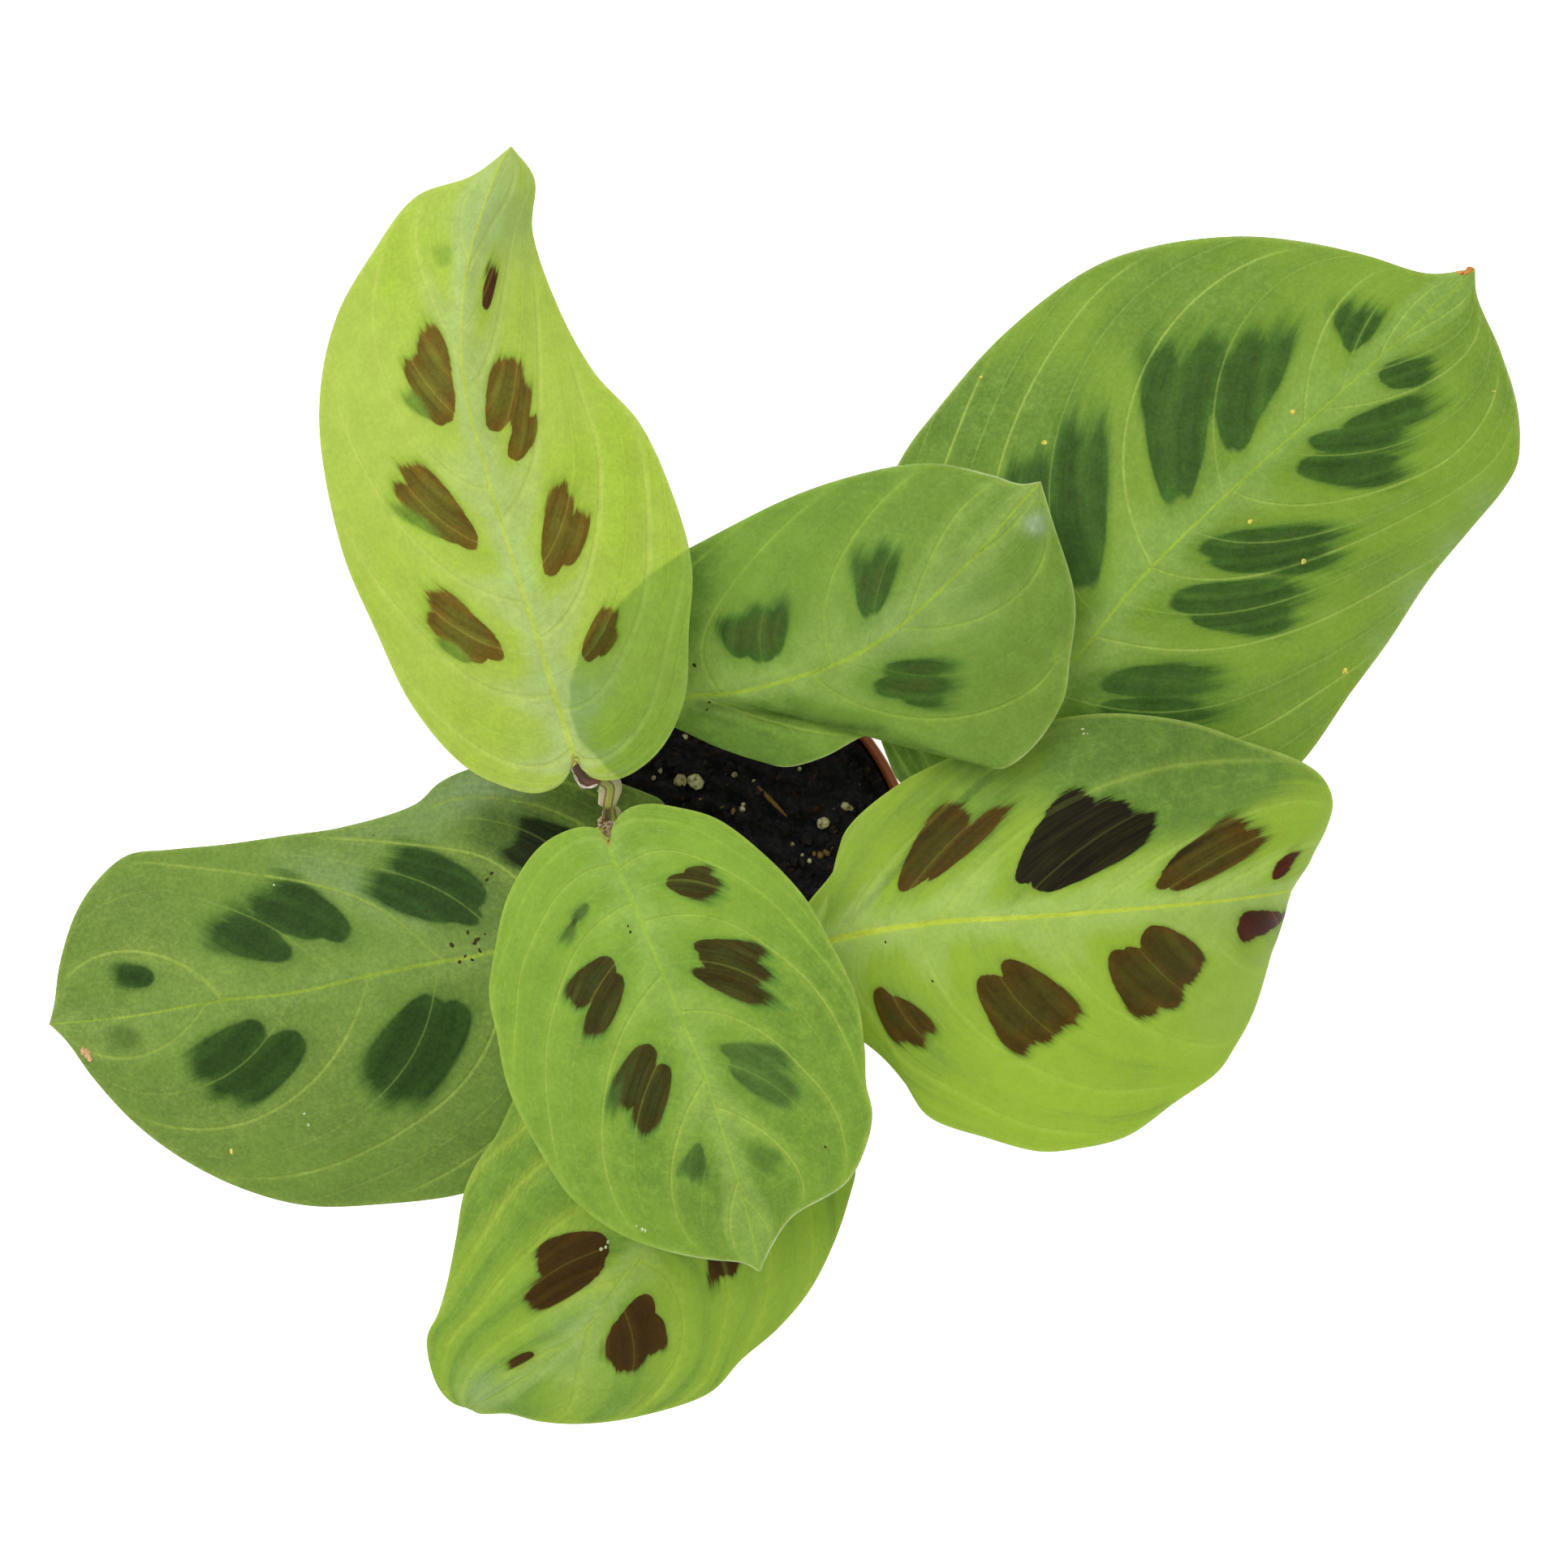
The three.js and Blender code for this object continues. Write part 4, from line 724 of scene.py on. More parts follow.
def tone(red, green, blue):
    """Linear colour of a screen colour given as 0 to 255."""
    parts = np.array([red, green, blue]) / 255
    linear = np.where(parts < 0.04045, parts / 12.92, ((parts + 0.055) / 1.055) ** 2.4)
    return (*linear.tolist(), 1.0)


class Number:
    """A number socket. Arithmetic on it adds Math nodes to its finish."""

    def __init__(self, finish, socket):
        self.finish = finish
        self.socket = socket

    def math(self, operation, *values):
        node = self.finish.node("Math", {"operation": operation}, dict(enumerate(values)))
        return Number(self.finish, node.outputs[0])

    def __add__(self, other):
        return self.math("ADD", self, other)

    __radd__ = __add__

    def __mul__(self, other):
        return self.math("MULTIPLY", self, other)

    __rmul__ = __mul__

    def __sub__(self, other):
        return self.math("SUBTRACT", self, other)

    def __rsub__(self, other):
        return self.math("SUBTRACT", other, self)

    def __truediv__(self, other):
        return self.math("DIVIDE", self, other)

    def __abs__(self):
        return self.math("ABSOLUTE", self)

    def fraction(self):
        return self.math("FRACT", self)

    def ramp(self, low, high):
        """Smooth step from 0 at low to 1 at high. With low above high it falls."""
        settings = {"interpolation_type": "SMOOTHSTEP"}
        if isinstance(low, float | int) and isinstance(high, float | int) and low > high:
            return 1 - self.ramp(high, low)
        node = self.finish.node("MapRange", settings, {0: self, 1: low, 2: high})
        return Number(self.finish, node.outputs[0])


class Finish:
    """The node tree of one material. node adds any node. The rest are short ways to the ones used most."""

    def __init__(self, name):
        self.material = bpy.data.materials.new(name)
        self.material.use_nodes = True
        self.tree = self.material.node_tree
        self.tree.nodes.clear()

    def node(self, kind, settings=None, sockets=None):
        """Adds a node of this kind, sets its settings, then gives its sockets their values or links."""
        node = self.tree.nodes.new("ShaderNode" + kind)
        for key, value in (settings or {}).items():
            setattr(node, key, value)
        for key, value in (sockets or {}).items():
            if isinstance(value, Number):
                value = value.socket
            if isinstance(value, bpy.types.NodeSocket):
                self.tree.links.new(value, node.inputs[key])
            else:
                node.inputs[key].default_value = value
        return node

    def stored(self, name):
        """A number kept for each point of the piece."""
        return Number(self, self.node("Attribute", {"attribute_name": name}).outputs["Fac"])

    def place(self):
        """Where on the piece, in metres."""
        return self.node("TexCoord").outputs["Object"]

    def vector(self, x, y):
        """A vector from two numbers, for a pattern that follows the surface."""
        return self.node("CombineXYZ", sockets={0: x, 1: y}).outputs[0]

    def stretched(self, x, y, z):
        """Where on the piece, with each direction scaled."""
        return self.node("Mapping", sockets={"Vector": self.place(), "Scale": (x, y, z)}).outputs[0]

    def noise(self, vector, scale, detail, roughness=0.5, distortion=0.0):
        """Soft noise from 0 to 1 with the given number of waves to a unit of the vector."""
        sockets = {"Vector": vector, "Scale": scale, "Detail": detail}
        sockets |= {"Roughness": roughness, "Distortion": distortion}
        return Number(self, self.node("TexNoise", sockets=sockets).outputs[0])

    def mix(self, share, first, second, blend="MIX"):
        """The first colour at share 0 and the second at share 1."""
        settings = {"data_type": "RGBA", "blend_type": blend, "clamp_factor": True}
        return self.node("Mix", settings, {0: share, 6: first, 7: second}).outputs[2]

    def lit(self, colour, light):
        """The colour with its light scaled by a number."""
        sockets = {0: colour, "Scale": light}
        return self.node("VectorMath", {"operation": "SCALE"}, sockets).outputs[0]

    def bumps(self, height):
        """A normal from a height in millimetres."""
        return self.node("Bump", sockets={"Distance": MM, "Height": height}).outputs[0]

    def surface(self, sockets, through=None, share=0.0):
        """Closes the tree: a Principled surface, which may let light through in one colour for a share."""
        shader = self.node("BsdfPrincipled", sockets=sockets).outputs[0]
        if through:
            film = self.node("BsdfTranslucent", sockets={"Color": through}).outputs[0]
            shader = self.node("MixShader", sockets={0: share, 1: shader, 2: film}).outputs[0]
        self.node("OutputMaterial", sockets={"Surface": shader})
        return self.material


# Blades

# Rows run from the notch to the tip. Columns run from the midrib to the edge, closer together at the midrib,
# with two more just inside the edge.
BLADE_ROWS = 200
BLADE_COLUMNS = 46
COLUMN_BIAS = 1.15
EDGE_COLUMNS = [0.987, 0.996]

# A row leaves the midrib at the share s^RIB_BIAS of its length. BACK_SWEEP and CROWN are shares of the row's
# length, and EDGE_TURNS counts the waves of the left and of the right edge.
RIB_BIAS = 1.7
BACK_SWEEP = 0.12
CROWN = 0.07
EDGE_WAVE = 0.9
EDGE_TURNS = (3.5, 4)

BLADE_HALF_THICKNESS = 0.24
GROOVE_DEPTH = 0.3
GROOVE_WIDTH = 0.9
KEEL_DEPTH = 0.75
KEEL_WIDTH = 1.1

# Limits of what the finishes read, in millimetres: the spacing of the veins, and how far a lobe or an
# outline matters.
GAP_RANGE = (0.5, 30)
FAR = 9.0


def blade_surface(leaf, s, u):
    """Middle surface of a blade, and how far its edge is from its midrib.

    For s from 0 at the notch to 1 at the tip and u from -1 at the left edge to 1 at the right edge, a
    quadratic arc runs from the midrib to the edge. Its middle lies a little back towards the stalk and
    above the chord, so each half is crowned. The edge waves up and down.
    """
    midrib = curve_through(leaf["midrib"])
    s, u = np.broadcast_arrays(s, u)
    share = s**RIB_BIAS
    r = np.abs(u)[..., None]
    inner = midrib(share)
    left, right = (curve_through(leaf[side])(s) for side in ("left", "right"))
    outer = np.where((u < 0)[..., None], left, right)
    reach = np.linalg.norm(outer - inner, axis=-1, keepdims=True)
    middle = (inner + outer) / 2 - BACK_SWEEP * reach * direction(midrib, share)
    middle[..., 2:] += CROWN * reach
    p = (1 - r) ** 2 * inner + 2 * r * (1 - r) * middle + r**2 * outer
    turns = np.where(u < 0, *EDGE_TURNS)
    p[..., 2] += EDGE_WAVE * leaf["wave"] * u**2 * np.sin(np.pi * s) * np.sin(2 * np.pi * turns * s)
    return p, reach[..., 0]


def vein_phase(leaf, s, u):
    """Counts the side veins: whole numbers lie on the strong veins, halves on the fine ones between.

    A strong vein is given by its rows s at r = 0, 1/3, 2/3 and 1, and runs as the cubic through them. Between
    veins the count is even, and before the first and after the last it goes on at the same pace.
    """
    r = np.abs(u)
    knots = np.arange(4) / 3
    weights = [
        np.prod([(r - other) / (knot - other) for other in knots if other != knot], axis=0) for knot in knots
    ]
    counts = []
    for veins in leaf["veins"]:
        rows = np.tensordot(np.array(veins), np.array(weights), 1)[:, 0]
        count = np.stack([
            np.interp(s[:, 0], rows[:, k], np.arange(len(rows)))
            + np.minimum(s[:, 0] - rows[0, k], 0) / (rows[1, k] - rows[0, k])
            + np.maximum(s[:, 0] - rows[-1, k], 0) / (rows[-1, k] - rows[-2, k])
            for k in range(rows.shape[1])
        ], axis=1)
        counts.append(count)
    return np.where(u < 0, counts[0], np.where(u > 0, counts[1], (counts[0] + counts[1]) / 2))


def spacing(points, number):
    """How many millimetres the number takes to grow by one: 1 / |gradient|, from the grid's own metric, kept
    within GAP_RANGE."""
    a, b = np.gradient(points, axis=0), np.gradient(points, axis=1)
    da, db = np.gradient(number, axis=0), np.gradient(number, axis=1)
    aa, ab, bb = (a * a).sum(-1), (a * b).sum(-1), (b * b).sum(-1)
    slope = (da**2 * bb - 2 * da * db * ab + db**2 * aa) / np.maximum(aa * bb - ab**2, 1e-6)
    return np.clip(1 / np.sqrt(np.maximum(slope, 1e-6)), *GAP_RANGE)


LOBE_POWER = 2.6
LOBE_TAPER = 0.14
LOBE_BLEND = 3

# Hue and strength of each kind of lobe. The hue is -1 for green, 0 for brown, 1 for nearly black, 2 for red.
LOBE_KINDS = {"brown": (0, 1), "deep": (1, 1), "red": (2, 1), "green": (-1, 0.85), "faint": (-1, 0.4)}


def lobes(where, leaf):
    """Signed depth inside a leaf's painted lobes in millimetres, with their hue, strength and fray.

    Each lobe is a superellipse along the line between its two ends. Its depth is the half width times
    1 - (|x|^p + |y|^p)^(1/p), with p the LOBE_POWER, x the share of the half length and y that of the half
    width, which grows by the taper towards the outer end. The lobes are joined by the largest depth. Hue,
    strength and fray (0 at the inner end, 1 at the outer) are weighed by exp(LOBE_BLEND depth).
    """
    depth = np.full(where.shape[:-1], -FAR)
    hue, strength, fray, weights = (np.full(depth.shape, 1e-12) for _ in range(4))
    for kind, (kind_hue, kind_strength) in LOBE_KINDS.items():
        for x0, y0, x1, y1, half_width, *own_taper in leaf.get(kind, ()):
            taper = own_taper[0] if own_taper else LOBE_TAPER
            start, end = np.array([x0, y0]), np.array([x1, y1])
            run = end - start
            length = np.hypot(*run)
            x = ((where - (start + end) / 2) * run).sum(-1) / length / (length / 2)
            across = np.abs((where[..., 0] - x0) * run[1] - (where[..., 1] - y0) * run[0]) / length
            y = across / (half_width * (1 + taper * np.clip(x, -1, 1)))
            own = half_width * (1 - (np.abs(x) ** LOBE_POWER + y**LOBE_POWER) ** (1 / LOBE_POWER))
            depth = np.maximum(depth, own)
            weight = np.exp(LOBE_BLEND * np.maximum(own, -6))
            hue += weight * kind_hue
            strength += weight * kind_strength
            fray += weight * np.clip((x + 1) / 2, 0, 1)
            weights += weight
    return depth, hue / weights, strength / weights, fray / weights


def depth_inside(where, outline):
    """Distance to a closed outline in millimetres, above 0 inside it: that to the nearest of its sides, with
    the sign from how many sides a level ray crosses."""
    start, end = outline, np.roll(outline, -1, axis=0)
    run = end - start
    nearest = np.full(where.shape[:-1], 1e9)
    inside = np.zeros(where.shape[:-1], bool)
    for a, b, d in zip(start, end, run):
        share = np.clip(((where - a) * d).sum(-1) / max((d * d).sum(), 1e-9), 0, 1)
        nearest = np.minimum(nearest, np.linalg.norm(where - a - share[..., None] * d, axis=-1))
        between = (a[1] > where[..., 1]) != (b[1] > where[..., 1])
        rise = d[1] if abs(d[1]) > 1e-9 else 1e-9
        inside ^= between & (where[..., 0] < a[0] + (where[..., 1] - a[1]) / rise * d[0])
    return np.where(inside, nearest, -nearest)


def creases(where, leaf):
    """How far a blade's creases sink it in millimetres, and how much painted shade they lay on it.

    A crease is a bell across the line between its two ends and fades out towards them. Its painted shade
    darkens a narrower strip along its bottom.
    """
    sunk, dark = np.zeros((2, *where.shape[:-1]))
    for x0, y0, x1, y1, width, sink in leaf.get("creases", ()):
        start, run = np.array([x0, y0]), np.array([x1 - x0, y1 - y0])
        share = np.clip(((where - start) * run).sum(-1) / (run**2).sum(), 0, 1)
        off = np.linalg.norm(where - start - share[..., None] * run, axis=-1)
        sunk += sink * bump(off, 0, width) * np.sin(np.pi * np.clip(share, 0.04, 0.96))
        # Painted shade along the bottom of the crease.
        dark += sink * bump(off, 0, 0.4 * width) * ramp(share * (1 - share), 0, 0.06)
    return sunk, dark


def soft_spots(where, places):
    """Bells added up: for each (x, y, radius, amount), amount times exp(-(distance / radius)^2)."""
    total = np.zeros(where.shape[:-1])
    for x, y, radius, amount in places:
        total += amount * np.exp(-((where - (x, y)) ** 2).sum(-1) / radius**2)
    return total


def tip_joined(grid):
    """The values on a blade's grid as a list, with its last row as the one point at the tip."""
    return np.concatenate([grid[:-1].reshape(-1, *grid.shape[2:]), grid[-1, :1]])


def shell_faces(rows, columns):
    """Faces of a closed thin shell: those of its upper and under skin, and a hem round their edges."""
    tip = (rows - 1) * columns
    below = tip + 1
    quads = grid_quads(rows - 1, columns)
    last = np.arange(columns - 1) + tip - columns
    fan = np.stack([last, last + 1, np.full(columns - 1, tip)], -1)
    right, left = np.arange(2, rows) * columns - 1, np.arange(rows - 2, 0, -1) * columns
    edge = np.concatenate([np.arange(columns), right, [tip], left])
    onward = np.roll(edge, -1)
    hem = np.stack([edge, edge + below, onward + below, onward], -1)
    return [quads, quads[:, ::-1] + below, hem, fan, fan[:, ::-1] + below]


def blade(name, leaf):
    """A closed thin shell round the blade's middle surface.

    The upper skin is quilted by sin^2(pi phase) between the side veins and grooved along the midrib. The
    under skin follows it, with the midrib standing proud. The skins meet along the thinned edge.
    """
    half = np.linspace(0, 1, BLADE_COLUMNS + 1) ** COLUMN_BIAS
    half = np.sort(np.concatenate([half, EDGE_COLUMNS]))
    s = np.linspace(0, 1, BLADE_ROWS + 1)[:, None]
    u = np.concatenate([-half[::-1], half[1:]])[None, :]
    middle, reach = blade_surface(leaf, s, u)
    r = np.abs(u) + 0 * s
    rib, rim = r * reach, (1 - r) * reach
    phase = vein_phase(leaf, s, u)
    gap = spacing(middle, phase)
    where = seen(middle)
    # The creases sink the blade and lay painted shade along their bottoms.
    sunk, crease_shade = creases(where, leaf)
    middle[..., 2] -= sunk

    up = unit(np.cross(np.gradient(middle, axis=1), np.gradient(middle, axis=0)))
    up[-1] = unit(up[-2].mean(axis=0))
    calm = ramp(r, 0.04, 0.25) * ramp(1 - r, 0, 0.18) * ramp(gap, 3, 12) * ramp(1 - s, 0, 0.15)
    quilt = leaf["quilt"] * calm * (np.sin(np.pi * phase) ** 2 - 0.5)
    groove = GROOVE_DEPTH * bump(rib, 0, GROOVE_WIDTH) * (1 - s**3)
    keel = KEEL_DEPTH * bump(rib, 0, KEEL_WIDTH) * (1 - s)
    thick = BLADE_HALF_THICKNESS * (1 - 0.5 * r**6)
    upper = middle + up * (thick + quilt - groove)[..., None]
    under = middle - up * (thick - quilt + keel)[..., None]
    upper[-1], under[-1] = upper[-1].mean(axis=0), under[-1].mean(axis=0)
    points = np.concatenate([tip_joined(upper), tip_joined(under)])
    points = np.clip(points, cad_low_mm, cad_high_mm)
    node = "leaf_" + name
    made = piece("blade_" + name, points, shell_faces(*r.shape), blade_finish(name, leaf), node)

    depth, hue, strength, fray = lobes(where, leaf)
    over = np.full(r.shape, -FAR)
    # Inside the outline of the leaf behind, the shade of that leaf, as seen through this one, is painted.
    if "painted_shadow_outline" in leaf:
        over = np.clip(depth_inside(where, np.array(leaf["painted_shadow_outline"], float)), -FAR, FAR)
    # The tones are partly painted shade, and the creases add their painted shade to them; the dimming spots
    # are painted shade, and painted light where below 0; the sheen spots are a painted sheen.
    numbers = {
        "phase": phase, "gap": gap, "rib": rib, "rim": rim, "along": s + 0 * u, "over": over,
        "lobe": depth, "hue": hue, "strength": strength, "fray": fray,
        "shade": soft_spots(where, leaf.get("tones", ())) + 0.4 * crease_shade,
        "painted_shade_and_light": soft_spots(where, leaf.get("painted_shade_and_light", ())) + crease_shade,
        "painted_sheen": soft_spots(where, leaf.get("painted_sheen", ())),
        "pale_rim": soft_spots(where, leaf.get("rims", ())),
    }
    stored(made, **{key: np.tile(tip_joined(values), 2) for key, values in numbers.items()})
    stored(made, under=np.repeat([0.0, 1.0], len(points) // 2))
    specks(name, leaf, where, upper, up)


# The colour a lump takes in its pits, where its bumps are low.
PIT_TONE = tone(52, 44, 34)
SPECK_TINTS = {
    "orange": tone(214, 202, 92),
    "soil": tone(60, 50, 20),
    # pale is whitish dust, and on the front leaf a painted glint.
    "pale": tone(196, 206, 160),
    "dry": tone(206, 136, 66),
    "tan": tone(202, 166, 118),
}


def specks(name, leaf, where, upper, up):
    """Spots and crumbs on the upper skin: flat rough lumps half sunk at the grid points nearest to where they
    are seen, one piece for each tint."""
    for tint, spots in leaf.get("specks", {}).items():
        spots = np.array(spots)
        off = np.linalg.norm(where[None] - spots[:, None, None, :2], axis=-1).reshape(len(spots), -1)
        nearest = off.argmin(axis=1)
        centres, lie = upper.reshape(-1, 3)[nearest], up.reshape(-1, 3)[nearest]
        sizes = spots[:, 2:] * random.uniform(0.5, 1.5, (len(spots), 3))
        finish = lump_finish(f"speck_{tint}_{name}", SPECK_TINTS[tint])
        scattered(
            f"specks_{tint}_{name}", centres, sizes, finish, "leaf_" + name,
            roughness=0.2, rows=5, sides=9, lie=lie,
        )


def lump_finish(name, tint):
    """A rough lump of one tint, darker in its pits."""
    f = Finish(name)
    grain = f.noise(f.place(), 1400, 3, 0.6)
    sockets = {
        "Base Color": f.mix(grain.ramp(0.6, 0.35) * 0.5, tint, PIT_TONE),
        "Roughness": 0.85,
        "Specular IOR Level": 0.1,
        "Normal": f.bumps(grain * 0.15),
    }
    return f.surface(sockets)


# Colour of the painted sheen.
PAINTED_SHEEN = tone(158, 178, 134)
HAIRLINE = tone(206, 218, 168)
# Painted highlight on crosswise wrinkles.
PAINTED_HIGHLIGHT = tone(196, 204, 84)
BASE_BROWN = tone(178, 148, 84)
RED_LOBE = tone(66, 14, 0)
# Tint of the painted shade of a leaf seen through another.
PAINTED_SHADOW_TINT = tone(204, 220, 214)


def blade_finish(name, leaf):
    """Leaf skin: a green ground that turns silvery along the midrib and between the strong side veins, fine
    streaks along the veins, painted lobes with ragged outer ends, lime veins, and a paler underside."""
    f = Finish("leaf_skin_" + name)
    place = f.place()
    along, strength = f.stored("along"), f.stored("strength")
    phase, gap, rib, rim = (f.stored(key) for key in ("phase", "gap", "rib", "rim"))
    under = f.stored("under").ramp(0.45, 0.55)
    colours = {key: tone(*value) for key, value in leaf["colours"].items()}

    # Noises that the colours share, and where the veins run.
    cloud = f.noise(place, 38, 3)
    mottle = f.noise(place, 210, 4, 0.6)
    grain = f.noise(place, 1200, 3, 0.6)
    streak = f.noise(f.vector(phase * 13, rib * 0.05), 1, 3, 0.6)
    fine_streak = f.noise(f.vector(phase * 46, rib * 0.12), 1, 1)
    off_vein = abs((phase + 0.5).fraction() - 0.5)
    faded = (cloud + mottle * 0.5).ramp(0.35, 0.75) * 0.6 + 0.5
    near_vein = (off_vein * gap).ramp(leaf["line"], 0.15 * leaf["line"])
    strong_vein = near_vein * rim.ramp(0.5, 5) * gap.ramp(2, 6) * faded
    fine_vein = (abs(phase.fraction() - 0.5) * gap).ramp(0.3, 0.06)

    # The ground, silvery along the midrib and paler over the veins and along the edge, with painted shade,
    # painted light and a painted sheen.
    flecked = (grain.ramp(0.45, 0.7) * 0.25 + mottle.ramp(0.45, 0.7) * 0.3) * leaf["flecks"]
    # Darkness of the ground: random cloud, streaks and mottle, the tones (partly painted shade), the creases'
    # painted shade, and painted shade midway between the strong veins.
    darkness = cloud + f.stored("shade") + (streak - 0.5) * 0.35 + (mottle - 0.5) * 0.45
    darkness = (darkness + off_vein.ramp(0.28, 0.5) * leaf["groove"]).ramp(0.3, 0.9)
    ground = f.mix(darkness, colours["green"], colours["shade"])
    silver_width = leaf["silver"] * (0.45 + 0.9 * off_vein.ramp(0.3, 0.02))
    feather = (streak - 0.5) * 0.8 + (fine_streak - 0.5) * 0.3 + (cloud - 0.5) * 0.5
    silver = (rib / silver_width + feather).ramp(1.25, 0.25)
    ground = f.mix(flecked, ground, colours["shade"])
    ground = f.mix(silver * leaf["silver_share"], ground, colours["pale"])
    ground = f.mix(flecked * 0.5, ground, colours["lime"])
    # A pale band along the strong veins, partly their own paler colour and partly painted light.
    ground = f.mix(off_vein.ramp(0.2, 0.0) * leaf["band"], ground, colours["lime"])
    ground = f.mix(rim.ramp(1.4, 0.2) * 0.35, ground, colours["lime"])
    # Painted highlights on the crosswise wrinkles.
    crinkle_highlight = f.noise(f.vector(phase * 7, rib * 2.4), 1, 2).ramp(0.4, 0.65)
    ground = f.mix(crinkle_highlight * off_vein.ramp(0.45, 0.15) * leaf["crinkle_highlight"], ground, PAINTED_HIGHLIGHT)
    # A painted sheen in soft spots, stronger where the streaks are light.
    ground = f.mix(f.stored("painted_sheen") * (0.4 + streak * 1.2), ground, PAINTED_SHEEN)

    # The painted lobes and their halos, with outer ends frayed along the veins.
    fray = f.stored("fray")
    finger = abs((phase * 4).fraction() - 0.5).ramp(0.5, 0.15)
    ragged = (streak + finger * 0.16 - 0.58) * leaf["ragged"] + (fine_streak - 0.5) * 0.5
    ragged = ragged * (0.25 + fray * 0.95)
    depth = f.stored("lobe") + ragged
    halo = depth.ramp(-leaf["halo"], 0.1) * (0.4 + fray * 0.6)
    soft = (0.5 + fray) * (leaf["soft"] + (1 - strength) * 1.6)
    lobe = (depth / soft).ramp(-1.0, 1.0)
    hue = f.stored("hue")
    paint = f.mix(depth.ramp(0.2, 2.4) * (0.2 + streak * 0.8), colours["lobe"], colours["core"])
    paint = f.mix(hue.ramp(0.0, 1.0), paint, colours["deep"])
    paint = f.mix(hue.ramp(1.0, 2.0), paint, RED_LOBE)
    paint = f.mix(hue.ramp(0.0, -1.0) * 0.9, paint, colours["green_lobe"])
    paint = f.mix((fine_streak - 0.4) * 0.8, paint, colours["green_lobe"])
    paint = f.lit(paint, 0.52 + 0.7 * streak + 0.25 * grain + 0.25 * mottle - 0.25 * finger)
    ground = f.mix(halo * strength * 0.7, ground, colours["halo"])
    ground = f.mix(lobe * strength, ground, paint)

    # Veins, midrib, edge and grain.
    ground = f.mix(strong_vein * (1 - 0.75 * lobe) * leaf["vein"], ground, colours["lime"])
    ground = f.mix(fine_vein * (1 - 0.2 * lobe) * leaf["fine"], ground, colours["lime"])
    rib_width = leaf["rib_width"] * (1 - 0.6 * along)
    at_rib = (rib / rib_width).ramp(1.1, 0.5)
    ground = f.mix(at_rib * 0.9, ground, colours["rib"])
    ground = f.mix((rib * 0.5 + along * 30).ramp(2.4, 1.0) * 0.8, ground, BASE_BROWN)
    hairline = rim.ramp(0.5, 0.15) * (cloud.ramp(0.4, 0.6) * leaf["hairline"] + f.stored("pale_rim"))
    ground = f.mix(hairline, ground, HAIRLINE)
    speckle = 0.12 * mottle.ramp(0.34, 0.66) + 0.14 * leaf["grainy"] * (grain.ramp(0.32, 0.68) - 0.5)
    # Light scaled by streaks and grain, less where the creases and dimming spots paint shade, more where
    # those spots paint light.
    ground = f.lit(ground, 0.89 + 0.1 * fine_streak + speckle - 0.14 * f.stored("painted_shade_and_light"))
    # Painted shade of the leaf behind, seen through this one.
    if "painted_shadow_outline" in leaf:
        ground = f.mix(f.stored("over").ramp(-0.3, 0.7), ground, PAINTED_SHADOW_TINT, "MULTIPLY")

    # The underside, the relief, and the light that comes through where nothing is painted.
    beneath = f.mix(silver, colours["under"], colours["pale"])
    beneath = f.mix(lobe * strength * 0.35, beneath, colours["halo"])
    beneath = f.mix((strong_vein * 0.5 + rib.ramp(1.6, 0.8)).ramp(0.0, 1.0), beneath, colours["lime"])
    colour = f.mix(under, ground, beneath)
    height = (streak + fine_streak) * 0.035 + grain * 0.02 + cloud * 0.2
    height = height - strong_vein * (0.14 - 0.28 * under) - fine_vein * (0.05 - 0.1 * under)
    sockets = {
        "Base Color": colour,
        "Roughness": 0.52 + 0.1 * grain + 0.1 * under + 0.06 * lobe,
        "Specular IOR Level": 0.08,
        "Normal": f.bumps(height),
    }
    film = (0.42 - 0.16 * darkness) * (1 - 0.93 * lobe * strength)
    return f.surface(sockets, through=colours["glow"], share=film)


# Stems and stalks

LIMB_SIDES = 28
LIMB_END_SHARE = 0.75
LIMB_END_REACH = 0.3
STEM_STEPS = 150
STALK_STEPS = 110
COLLAR_STEPS = 60

# The plain, dark and pale tones of stems and stalks, and the pairs of tones that the finer parts mix.
STEM_TONES = tone(134, 138, 84), tone(104, 92, 62), tone(176, 164, 130)
STALK_TONES = tone(158, 160, 56), tone(130, 132, 58), tone(176, 168, 132)
MEMBRANE = tone(162, 138, 118), tone(154, 170, 106)
NECK = tone(62, 42, 26), tone(118, 96, 44)
MAROON = tone(64, 29, 22), tone(98, 54, 44)
WING_LINE = tone(86, 66, 30)


def no_wing(t):
    """Width 0 all along."""
    return 0 * t


